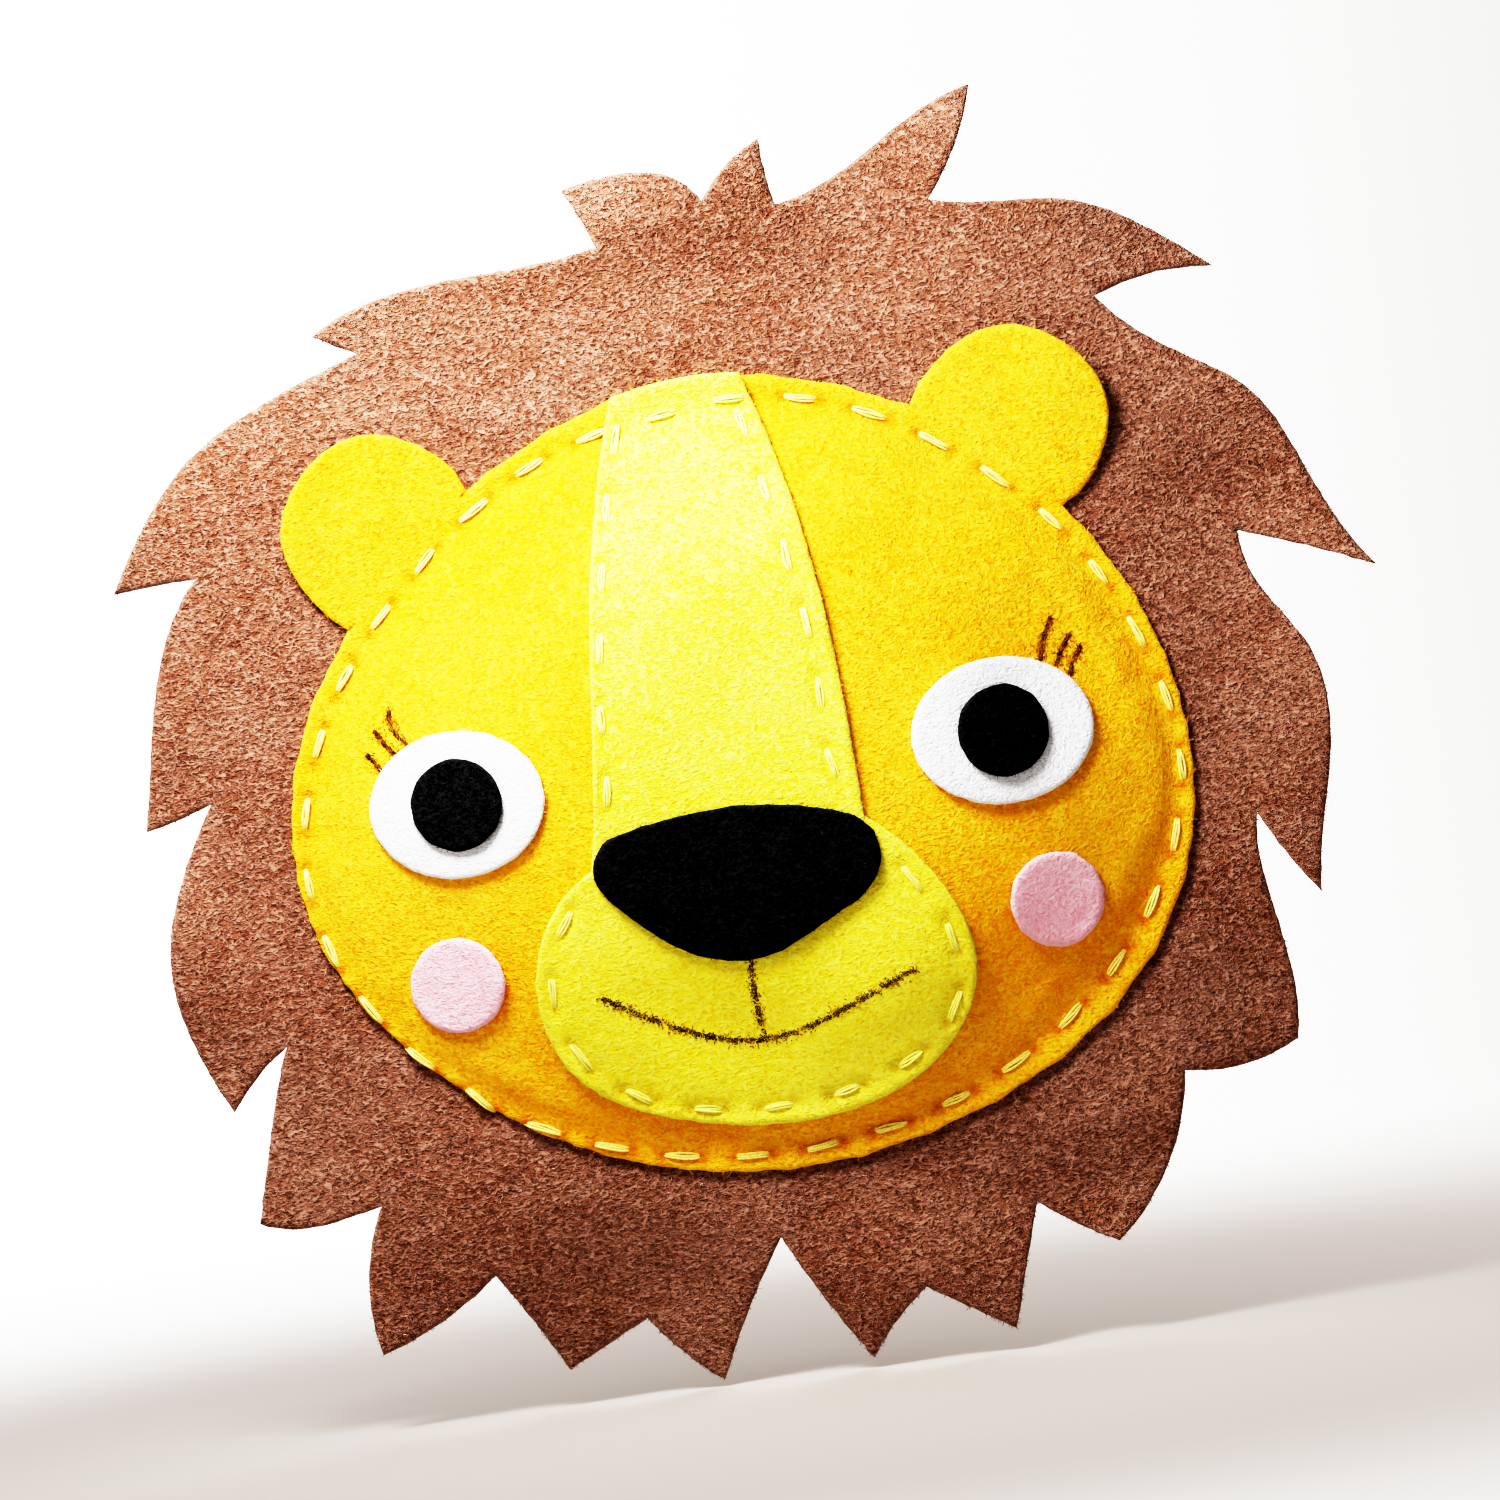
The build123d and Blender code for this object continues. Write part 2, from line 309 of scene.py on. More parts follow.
def islands(bm):
    """The groups of vertices that are joined to each other, one after another."""
    unseen = dict.fromkeys(bm.verts)
    while unseen:
        island, border = [], [unseen.popitem()[0]]
        while border:
            vert = border.pop()
            island.append(vert)
            for edge in vert.link_edges:
                other = edge.other_vert(vert)
                if other in unseen:
                    del unseen[other]
                    border.append(other)
        yield island


def cad_front(node):
    """A welded copy of the surfaces of a CAD node that face forwards.

    The node's mesh holds each CAD surface as an island of its own, so one is kept or
    dropped as a whole, by the way that it faces on average."""
    bm = bmesh.new()
    bm.from_mesh(frame["nodes"][node].data)
    bm.normal_update()
    dropped = []
    for island in list(islands(bm)):
        faces = {face for vert in island for face in vert.link_faces}
        area = sum(face.calc_area() for face in faces)
        if sum(face.calc_area() * face.normal.y for face in faces) > -0.5 * area:
            dropped += island
    bmesh.ops.delete(bm, geom=dropped, context="VERTS")
    bmesh.ops.remove_doubles(bm, verts=bm.verts, dist=WELD * MM)
    bm.verts.index_update()
    return bm


def outline(node):
    """A CAD node's outline seen from the front: its longest loop, counter-clockwise."""
    bm = cad_front(node)
    follows = {}
    for edge in bm.edges:
        if len(edge.link_faces) == 1:
            loop = edge.link_loops[0]
            follows[loop.vert.index] = loop.link_loop_next.vert.index
    places = {v.index: (v.co.x / MM, v.co.z / MM) for v in bm.verts}
    bm.free()
    loops = []
    while follows:
        start, at = next(iter(follows.items()))
        del follows[start]
        chain = [start]
        while at in follows:
            chain.append(at)
            at = follows.pop(at)
        loops.append(np.array([places[i] for i in chain]))
    loop = max(loops, key=lambda one: lengths(np.diff(one, axis=0)).sum())
    turning = cross(loop, np.roll(loop, -1, axis=0)).sum()
    return loop if turning > 0 else loop[::-1]


def even_loop(loop, step):
    """The loop with even steps between its corners, which stay where they are."""
    loop = loop[lengths(loop - np.roll(loop, 1, axis=0)) > 0.02]
    before = loop - np.roll(loop, 1, axis=0)
    after = np.roll(loop, -1, axis=0) - loop
    turn = np.arctan2(cross(before, after), (before * after).sum(1))
    corners = np.flatnonzero(np.abs(turn) > CORNER)
    if len(corners) == 0:
        corners = np.array([0])
    out = []
    for here, there in zip(corners, np.append(corners[1:], corners[0] + len(loop))):
        run = loop[np.arange(here, there + 1) % len(loop)]
        along = np.append(0, np.cumsum(lengths(np.diff(run, axis=0))))
        steps = max(1, round(along[-1] / step))
        at = np.linspace(0, along[-1], steps + 1)[:-1]
        out.append(np.column_stack([np.interp(at, along, run[:, i]) for i in (0, 1)]))
    return np.concatenate(out)


def inward(loop):
    """Unit directions into a counter-clockwise loop at each of its points."""
    along = np.roll(loop, -1, axis=0) - np.roll(loop, 1, axis=0)
    along /= lengths(along)[:, None]
    return np.column_stack([-along[:, 1], along[:, 0]])


def within(points, loop):
    """True for the points inside a closed loop."""
    inside = np.zeros(len(points), bool)
    for a, b in zip(loop, np.roll(loop, -1, axis=0)):
        crosses = (a[1] > points[:, 1]) != (b[1] > points[:, 1])
        rise = b[1] - a[1] if b[1] != a[1] else 1e-9
        at = a[0] + (points[:, 1] - a[1]) * (b[0] - a[0]) / rise
        inside ^= crosses & (points[:, 0] < at)
    return inside


def distance_to(line, points):
    """How far each point lies from the nearest of a line's points."""
    tree = kdtree.KDTree(len(line))
    for index, place in enumerate(line):
        tree.insert((place[0], place[1], 0), index)
    tree.balance()
    return np.array([tree.find((p[0], p[1], 0))[2] for p in points])


def straight(a, b, step):
    """Evenly spaced points from a to b, both ends included."""
    count = max(2, round(float(lengths(b - a)) / step) + 1)
    return a + (b - a) * np.linspace(0, 1, count)[:, None]


class Plan:
    """A flat cut of felt, filled with triangles.

    points and triangles are the fill, rim holds the pairs of points round its edge, and
    inside is how far each point lies from the cut edge.  The triangles keep to the cuts,
    which are straight lines across the plan where a part of it can be taken off."""

    def __init__(self, loop, step, cuts=()):
        loop = even_loop(loop, step)
        fine = even_loop(loop, step / 4)
        low, high = loop.min(0), loop.max(0)
        grid = []
        for number, y in enumerate(np.arange(low[1], high[1], step * math.sqrt(3) / 2)):
            x = np.arange(low[0] + step / 2 * (number % 2), high[0], step)
            grid.append(np.column_stack([x, np.full(len(x), y)]))
        grid = np.concatenate(grid)
        ring = loop + inward(loop) * EDGE_ROUND
        ring = ring[distance_to(fine, ring) > 0.8 * EDGE_ROUND]
        grid = grid[distance_to(fine, grid) > EDGE_ROUND + step / 2]
        lines, edges = [], []
        used = len(loop)
        for a, b in cuts:
            first, last = (np.argmin(lengths(loop - end)) for end in (a, b))
            between = straight(loop[first], loop[last], step)[1:-1]
            numbers = [first, *range(used, used + len(between)), last]
            edges += list(zip(numbers[:-1], numbers[1:]))
            used += len(between)
            lines.append(between)
            near = straight(a, b, step / 4)
            grid = grid[distance_to(near, grid) > step / 2]
            ring = ring[distance_to(near, ring) > step / 2]
        points = np.concatenate([loop, *lines, ring, grid])
        found = geometry.delaunay_2d_cdt(
            [Vector(p) for p in points], edges, [list(range(len(loop)))], 1, 1e-5
        )
        self.points = np.array([tuple(p) for p in found[0]])
        self.triangles = np.array([f for f in found[2] if len(f) == 3])
        self.tidy()
        self.inside = distance_to(fine, self.points)
        self.inside[np.unique(self.rim)] = 0

    def tidy(self):
        """Turns every triangle counter-clockwise, drops unused points and finds the rim."""
        a, b, c = (self.points[self.triangles[:, i]] for i in range(3))
        back = cross(b - a, c - a) < 0
        self.triangles[back] = self.triangles[back][:, ::-1]
        used, found = np.unique(self.triangles, return_inverse=True)
        self.triangles = found.reshape(-1, 3)
        self.points = self.points[used]
        if hasattr(self, "inside"):
            self.inside = self.inside[used]
        pairs = np.concatenate([self.triangles[:, [i, (i + 1) % 3]] for i in range(3)])
        present = {tuple(p) for p in pairs.tolist()}
        self.rim = np.array([p for p in pairs.tolist() if (p[1], p[0]) not in present])

    def part(self, beyond):
        """The triangles whose middles are beyond a cut, as a plan of their own."""
        half = object.__new__(Plan)
        half.points, half.inside = self.points, self.inside
        half.triangles = self.triangles[beyond(self.points[self.triangles].mean(1))]
        half.tidy()
        return half

    def areas(self):
        """The area of each triangle."""
        a, b, c = (self.points[self.triangles[:, i]] for i in range(3))
        return np.abs(cross(b - a, c - a)) / 2

    def size(self):
        return self.points.max(0) - self.points.min(0)


class Ground:
    """Heights over a grid of table places, read smoothly in between."""

    def __init__(self, low, high, step=0.4):
        self.low, self.step = np.array(low, float), step
        self.shape = tuple(np.ceil((np.array(high) - self.low) / step).astype(int) + 1)
        x, y = np.meshgrid(*(np.arange(n) * step for n in self.shape), indexing="ij")
        self.points = np.column_stack([x.ravel(), y.ravel()]) + self.low
        self.height = np.zeros(len(self.points))

    def at(self, points):
        spot = (np.asarray(points, float) - self.low) / self.step
        spot = np.clip(spot, 0, np.array(self.shape) - 1.001)
        cell = spot.astype(int)
        part = spot - cell
        grid = self.height.reshape(self.shape)
        total = np.zeros(len(spot))
        for i in (0, 1):
            for j in (0, 1):
                share = np.abs(1 - i - part[:, 0]) * np.abs(1 - j - part[:, 1])
                total += share * grid[cell[:, 0] + i, cell[:, 1] + j]
        return total

    def smoothed(self, times):
        """Evens the heights out with their neighbours, a few times over."""
        grid = self.height.reshape(self.shape)
        for _ in range(times):
            edge = np.pad(grid, 1, mode="edge")
            around = edge[:-2, 1:-1] + edge[2:, 1:-1] + edge[1:-1, :-2] + edge[1:-1, 2:]
            grid = grid / 2 + around / 8
        self.height = grid.ravel()


def skin_of(pieces, facing=1):
    """A function of table points that finds the outermost surface of the pieces there."""
    trees = []
    for piece in pieces:
        places = [v.co for v in piece.data.vertices]
        trees.append(BVHTree.FromPolygons(places, [p.vertices for p in piece.data.polygons]))
    start, way = -facing * 0.1, Vector((0, facing, 0))

    def surface(points):
        found = []
        for x, y in points:
            hits = [tree.ray_cast(Vector((x * MM, start, y * MM)), way)[0] for tree in trees]
            heights = [-hit.y / MM * facing for hit in hits if hit is not None]
            found.append(max(heights) * facing if heights else math.nan)
        found = np.array(found)
        known = np.flatnonzero(~np.isnan(found))
        return np.interp(np.arange(len(found)), known, found[known])

    return surface


# ------------ meshes
def add_mesh(name, places, faces, material, body="head"):
    """A smooth mesh of table places, riding on a body, with its normals turned outwards.

    It takes the slot that its material belongs to."""
    mesh = bpy.data.meshes.new(name)
    mesh.from_pydata(world(places).tolist(), [], faces)
    bm = bmesh.new()
    bm.from_mesh(mesh)
    bmesh.ops.recalc_face_normals(bm, faces=bm.faces)
    bm.to_mesh(mesh)
    bm.free()
    mesh.shade_smooth()
    mesh.materials.append(material)
    piece = placed(name, mesh)
    if body:
        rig.ride(piece, body)
    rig.slot(piece, SLOTS[material.name])
    return piece


def felt_piece(name, plan, low, thickness, material, stitches=(), **riding):
    """A sheet of felt over a plan: low is the height of its underside at each point.

    Its cut edge is rounded a little and stands out half way up, as cut felt does, and round
    both ends of each of its stitches it is marked for painted shade, where the thread pulls a dimple.
    Gives the piece, and the height of its top at each point of the plan."""
    count = len(plan.points)
    low = np.broadcast_to(low, count)
    thickness = np.broadcast_to(thickness, count)
    near = np.clip(EDGE_ROUND - plan.inside, 0, None)
    drop = EDGE_ROUND - np.sqrt(EDGE_ROUND ** 2 - near ** 2)
    top = low + thickness - 0.55 * drop
    under = low + 0.3 * drop
    rim = np.unique(plan.rim)
    number = {point: 2 * count + i for i, point in enumerate(rim.tolist())}
    outward = np.zeros((count, 2))
    run = plan.points[plan.rim[:, 1]] - plan.points[plan.rim[:, 0]]
    side = np.column_stack([run[:, 1], -run[:, 0]])
    np.add.at(outward, plan.rim[:, 0], side)
    np.add.at(outward, plan.rim[:, 1], side)
    outward = outward[rim] / lengths(outward[rim])[:, None]
    bulge = EDGE_BULGE * (1 + 0.5 * ripple(plan.points[rim], 2.6, 5))
    bulge[plan.inside[rim] > 0] = 0
    middle = plan.points[rim] + outward * bulge[:, None]
    places = np.concatenate([
        raised(plan.points, top),
        raised(plan.points, under),
        raised(middle, (low + FELT / 2)[rim]),
    ])
    faces = plan.triangles.tolist() + (plan.triangles[:, ::-1] + count).tolist()
    for a, b in plan.rim.tolist():
        faces.append([number[a], number[b], b, a])
        faces.append([a + count, b + count, number[b], number[a]])
    piece = add_mesh(name, places, faces, material, **riding)
    cut = np.append(np.tile(plan.inside == 0, 2), np.ones(len(rim), bool))
    hole = np.zeros(len(places))
    if len(stitches):
        to_end = distance_to(stitch_points(stitches, 0.2, 2), plan.points)
        hole[:count] = np.exp(-(to_end / STITCH_SHADE_REACH) ** 2)
    for mark, values in (("cut", cut * 1.0), ("hole", hole)):
        piece.data.attributes.new(mark, "FLOAT", "POINT").data.foreach_set("value", values)
    joined = plan.inside > 0
    for edge in piece.data.edges:
        a, b = edge.vertices
        if max(a, b) < count and joined[a] and joined[b] and a in number and b in number:
            edge.use_edge_sharp = True
    return piece, top


def stitch_points(stitches, spread, count):
    """Even points along each stitch, which is first made longer by the spread."""
    return np.concatenate([
        middle + direction * (np.linspace(-0.5, 0.5, count) * (length + spread))[:, None]
        for middle, direction, length in stitches
    ])


def sheet_facts(plan):
    width, length = plan.size() * MM
    return {"flat": (width, length), "area": plan.areas().sum() * MM * MM}


def hairs(root, base, slope, heading, rng, length, width, lift, bend=1.1):
    """Places and faces of loose fibres: bent, three-sided, tapering to a point.

    root and base are where each starts, slope is the felt's own slope there, and heading
    the direction in which it sets off."""
    count, rings = len(root), 3
    bend = rng.normal(0, bend, count)
    size = length * rng.uniform(0.45, 1.25, count)
    rise = lift * rng.uniform(0.1, 1.3, count)
    wide = width * rng.uniform(0.6, 1.3, count)
    place = root.copy()
    places = np.zeros((count, rings * 3 + 1, 3))
    for section in range(rings + 1):
        along = section / rings
        angle = heading + bend * along
        forward = np.column_stack([np.cos(angle), np.sin(angle)])
        if section:
            place = place + forward * (size / rings)[:, None]
        height = base + (slope * (place - root)).sum(1) + rise * math.sin(2.4 * along)
        if section == rings:
            places[:, -1] = raised(place, height)
            break
        across = np.column_stack([-forward[:, 1], forward[:, 0]])
        taper = 0.5 * wide * (1 - 0.5 * along)
        for corner, (aside, up) in enumerate(((-1, 0), (1, 0), (0, 1.2))):
            at = place + across * (taper * aside)[:, None]
            places[:, section * 3 + corner] = raised(at, height + up * taper)
    start = np.arange(count)[:, None] * (rings * 3 + 1)
    faces = (start + [0, 1, 2]).tolist()
    for section in range(rings):
        for corner in range(3):
            a, b = section * 3 + corner, section * 3 + (corner + 1) % 3
            ends = [a + 3, b + 3] if section < rings - 1 else [rings * 3]
            faces += (start + [b, a, *ends]).tolist()
    return places.reshape(-1, 3), faces


def scattered(corners, count, rng):
    """Random points spread evenly over triangles: the points, the triangle of each, and how
    far along that triangle's first two sides it lies."""
    ab, ac = corners[:, 1] - corners[:, 0], corners[:, 2] - corners[:, 0]
    area = np.abs(cross(ab, ac))
    pick = rng.choice(len(area), count, p=area / area.sum())
    u, v = np.sort(rng.random((2, count)), axis=0)
    v = v - u
    return corners[pick, 0] + ab[pick] * u[:, None] + ac[pick] * v[:, None], pick, u, v


def fibres(name, plan, top, count, material, seed, length=1.3, width=0.07, lift=0.2,
           edge_share=0.15, edge_length=0.55, facing=1, **riding):
    """Loose fibres on a sheet's top, some shorter ones standing out of its cut edge.

    facing is -1 for the back of a sheet, where top is how far it stands out behind."""
    rng = np.random.default_rng(seed)
    corners = plan.points[plan.triangles]
    root, pick, u, v = scattered(corners, count, rng)
    ab, ac = (corners[pick, i] - corners[pick, 0] for i in (1, 2))
    heights = top[plan.triangles][pick]
    rise_b, rise_c = heights[:, 1] - heights[:, 0], heights[:, 2] - heights[:, 0]
    base = heights[:, 0] + rise_b * u + rise_c * v - 0.04
    slope = np.column_stack([
        rise_b * ac[:, 1] - rise_c * ab[:, 1], rise_c * ab[:, 0] - rise_b * ac[:, 0]
    ]) / cross(ab, ac)[:, None]
    heading = rng.uniform(0, 2 * math.pi, count)
    length = np.full(count, length)
    cut = plan.rim[(plan.inside[plan.rim] == 0).all(1)]
    on_edge = int(count * edge_share)
    run = plan.points[cut[:, 1]] - plan.points[cut[:, 0]]
    pick = rng.choice(len(cut), on_edge, p=lengths(run) / lengths(run).sum())
    share = rng.random(on_edge)[:, None]
    root = np.vstack([root, plan.points[cut[pick, 0]] + run[pick] * share])
    level = top[cut[pick, 0]] - rng.uniform(0.15, 0.85, on_edge) * FELT
    base = np.append(base, level)
    slope = np.vstack([slope, np.zeros((on_edge, 2))])
    out = np.arctan2(-run[pick, 0], run[pick, 1])
    heading = np.append(heading, out + rng.normal(0, 0.75, on_edge))
    length = np.append(length, np.full(on_edge, edge_length))
    places, faces = hairs(root, base, slope, heading, rng, length, width, lift)
    places[:, 2] *= facing
    return add_mesh(name, places, faces, material, **riding)


def tube(path, radius, sides=8, closed=False):
    """Places and faces of a round tube along a path of places."""
    path = np.asarray(path, float)
    radius = np.broadcast_to(radius, len(path))
    if closed:
        along = np.roll(path, -1, axis=0) - np.roll(path, 1, axis=0)
    else:
        along = np.gradient(path, axis=0)
    along /= lengths(along)[:, None]
    side = np.cross(along, (0, 0, 1))
    side /= lengths(side)[:, None]
    up = np.cross(side, along)
    rings = []
    for phi in np.arange(sides) * 2 * math.pi / sides:
        rings.append(path + (side * math.cos(phi) + up * math.sin(phi)) * radius[:, None])
    places = np.stack(rings, axis=1).reshape(-1, 3)
    count = len(path)
    faces = []
    for r in range(count if closed else count - 1):
        for k in range(sides):
            a, b = r * sides + k, r * sides + (k + 1) % sides
            c, d = (a + sides) % len(places), (b + sides) % len(places)
            faces.append([a, c, d, b])
    if not closed:
        faces += [list(range(sides)), [(count - 1) * sides + k for k in range(sides)]]
    return places, faces


def joined_tubes(name, tubes, material, **riding):
    places, faces, first = [], [], 0
    for one_places, one_faces in tubes:
        places.append(one_places)
        faces += [[first + i for i in face] for face in one_faces]
        first += len(one_places)
    return add_mesh(name, np.concatenate(places), faces, material, **riding)


def stitches_of(node, front):
    """Each stitch's middle, direction and length on the table, from the CAD node's solids."""
    bm = bmesh.new()
    bm.from_mesh(frame["nodes"][node].data)
    bmesh.ops.remove_doubles(bm, verts=bm.verts, dist=WELD * MM)
    found = []
    for island in islands(bm):
        places = np.array([(v.co.x, v.co.z, -v.co.y) for v in island]) / MM
        if (places[:, 2].mean() > 0) == front:
            middle = (places[:, :2].min(0) + places[:, :2].max(0)) / 2
            flat = places[:, :2] - middle
            direction = np.linalg.svd(flat, full_matrices=False)[2][0]
            along = flat @ direction
            found.append((middle, direction, along.max() - along.min()))
    bm.free()
    found.sort(key=lambda s: math.atan2(*(s[0] - FACE_MIDDLE)))
    return found


def floss(name, stitches, surface, radius, material, seed, facing=1, strands=3, **riding):
    """Running stitches of stranded floss that rise out of the felt and dive back into it.

    The strands lie side by side, part in the middle and meet where they go in.
    facing is 1 on the front and -1 behind the mane."""
    rng = np.random.default_rng(seed)
    along = np.linspace(-1, 1, 17)
    arch = (1 - np.abs(along) ** 4) * (radius + STITCH_SINK) - STITCH_SINK
    tubes = []
    for middle, direction, length in stitches:
        heading = math.atan2(direction[1], direction[0]) + rng.normal(0, 0.05)
        direction = np.array([math.cos(heading), math.sin(heading)])
        across = np.array([-direction[1], direction[0]])
        half = (length / 2 + 0.25) * rng.uniform(0.85, 1.06)
        line = middle + direction * (along * half)[:, None]
        felt_top = np.convolve(np.pad(surface(line), 2, mode="edge"), np.full(5, 0.2), "valid")
        height = felt_top * facing + arch * rng.uniform(0.9, 1.15)
        twist = rng.uniform(-0.5, 0.5)
        for strand in range(strands):
            aside = (strand - (strands - 1) / 2) * (1 - 0.7 * along ** 2) + twist * along
            aside = aside * 0.95 * radius + 0.06 * np.sin(3 * along + rng.uniform(0, 6))
            level = height - 0.5 * aside ** 2 + rng.uniform(-0.06, 0.06)
            swell = 0.46 * radius * (1 - 0.45 * along ** 4) * rng.uniform(0.9, 1.1)
            path = raised(line + across * aside[:, None], facing * level)
            tubes.append(tube(path, swell))
    return joined_tubes(name, tubes, material, **riding)


def knot(name, node, radius, material, seed, **riding):
    """A small knot of the thread's own thickness, with two short tails, behind the mane."""
    low, high = cad_box(node)
    centre, size = (low + high) / 2, (high - low) / 2
    rng = np.random.default_rng(seed)
    t = np.linspace(0, 2 * math.pi, 60, endpoint=False)
    loop = np.column_stack([
        (np.sin(t) + 2 * np.sin(2 * t)) / 3 * size[0],
        (np.cos(t) - 2 * np.cos(2 * t)) / 3 * size[1],
        -np.sin(3 * t) * size[2] * 0.7,
    ])
    tubes = [tube(loop + centre, radius, closed=True)]
    for heading in rng.uniform(-2.6, -0.4, 2):
        along = np.linspace(0, 1, 14)
        turn = heading + rng.uniform(-0.9, 0.9) * along
        steps = np.column_stack([np.cos(turn), np.sin(turn), np.zeros(14)]) * 0.32
        path = centre + np.cumsum(steps, axis=0)
        path[:, 2] += size[2] * 0.5 * smoothstep(along, 0, 1)
        tubes.append(tube(path, radius * (1 - 0.35 * along)))
    return joined_tubes(name, tubes, material, **riding)


def ink(name, node, surface, count, material, seed, length=0.4, width=0.16, stray=0.0,
        margin=0.0, strokes=False, **riding):
    """Dry pen ink: the fibres that the pen line darkened, where it caught them.

    They keep the margin off the line's edge.  With strokes on, they lie along the line that
    each part of the node draws."""
    rng = np.random.default_rng(seed)
    bm = cad_front(node)
    corners, headings = [], []
    for island in list(islands(bm)):
        places = np.array([(v.co.x, v.co.z) for v in island]) / MM
        along = np.linalg.svd(places - places.mean(0), full_matrices=False)[2][0]
        for face in dict.fromkeys(face for vert in island for face in vert.link_faces):
            corners.append([(v.co.x / MM, v.co.z / MM) for v in face.verts])
            headings.append(math.atan2(along[1], along[0]))
    border = []
    for edge in bm.edges:
        if len(edge.link_faces) == 1:
            a, b = (np.array((v.co.x, v.co.z)) / MM for v in edge.verts)
            border += [a + (b - a) * share for share in np.linspace(0, 1, 6)]
    bm.free()
    corners, headings = np.array(corners), np.array(headings)
    order = np.lexsort(corners[:, 0].T)
    corners, headings = corners[order], headings[order]
    root, pick, _, _ = scattered(corners, count, rng)
    root = root + rng.normal(0, stray, root.shape)
    patchy, spread, bend = (-2.4, 0.25, 0.3) if strokes else (-1.3, 3.2, 1.1)
    kept = ripple(root, 3.1, seed + 1) + rng.normal(0, 0.5, count) > patchy
    kept &= distance_to(border, root) >= margin
    root, headings = root[kept], headings[pick][kept]
    count = len(root)
    base = surface(root) + rng.uniform(-0.03, 0.04, count)
    slope = np.column_stack([
        surface(root + (0.3, 0)) - surface(root - (0.3, 0)),
        surface(root + (0, 0.3)) - surface(root - (0, 0.3)),
    ]) / 0.6
    heading = headings + rng.uniform(-spread, spread, count)
    places, faces = hairs(
        root, base, np.clip(slope, -2, 2), heading, rng, length, width, 0.06, bend
    )
    return add_mesh(name, places, faces, material, **riding)


# ------------ materials
# How far the painted shade of a stitch's dimple reaches from where the stitch goes in
STITCH_SHADE_REACH = 0.85

# Felt is combed across the roll: its fibres run longer that way
COMBED = 0.65

# The record's slot for each material, by the material's name
SLOTS = {}


class Nodes:
    """The node tree of a material or the world, with short ways to add and join nodes."""

    def __init__(self, name, kind=bpy.data.materials):
        self.material = kind.new(name)
        self.material.use_nodes = True
        self.tree = self.material.node_tree
        self.shader = self.tree.nodes.get("Principled BSDF")

    def add(self, kind, **values):
        node = self.tree.nodes.new(kind)
        for key, value in values.items():
            if key in node.inputs:
                node.inputs[key].default_value = value
            else:
                setattr(node, key, value)
        return node

    def join(self, out, into):
        """Joins an output to a socket, or to the shader's socket of that name."""
        self.tree.links.new(out, self.shader.inputs[into] if isinstance(into, str) else into)

    def math(self, operation, a, b):
        node = self.add("ShaderNodeMath", operation=operation)
        for socket, value in zip(node.inputs, (a, b)):
            if isinstance(value, (int, float)):
                socket.default_value = value
            else:
                self.join(value, socket)
        return node.outputs[0]

    def blend(self, share, a, b):
        node = self.add("ShaderNodeMix", data_type="RGBA")
        self.join(share, node.inputs["Factor"])
        for socket, value in ((node.inputs[6], a), (node.inputs[7], b)):
            if isinstance(value, tuple):
                socket.default_value = (*value, 1)
            else:
                self.join(value, socket)
        return node.outputs[2]

    def place(self):
        return self.add("ShaderNodeTexCoord").outputs["Object"]

    def vector(self, operation, place, by):
        node = self.add("ShaderNodeVectorMath", operation=operation)
        self.join(place, node.inputs[0])
        node.inputs[1].default_value = by
        return node.outputs[0]

    def x_of(self, place):
        node = self.add("ShaderNodeSeparateXYZ")
        self.join(place, node.inputs[0])
        return node.outputs["X"]

    def bump(self, height, strength, depth):
        """Bumps of a strength, with their depth in millimetres."""
        node = self.add("ShaderNodeBump", Strength=strength, Distance=depth * MM)
        self.join(height, node.inputs["Height"])
        self.join(node.outputs[0], "Normal")

    def ramp(self, value, low, high):
        """0 under low, 1 over high, smooth between them."""
        limits = {"From Min": low, "From Max": high}
        node = self.add("ShaderNodeMapRange", interpolation_type="SMOOTHSTEP", **limits)
        self.join(value, node.inputs["Value"])
        return node.outputs["Result"]

    def noise(self, place, scale, detail, roughness=0.6):
        node = self.add("ShaderNodeTexNoise", Scale=scale, Detail=detail, Roughness=roughness)
        self.join(place, node.inputs["Vector"])
        return node

    def finish(self, roughness, specular, sheen, tint=(1.0, 1.0, 1.0)):
        for socket, value in (
            ("Roughness", roughness), ("Specular IOR Level", specular), ("Sheen Weight", sheen),
            ("Sheen Roughness", 0.55), ("Sheen Tint", (*tint, 1)),
        ):
            self.shader.inputs[socket].default_value = value
        return self.material


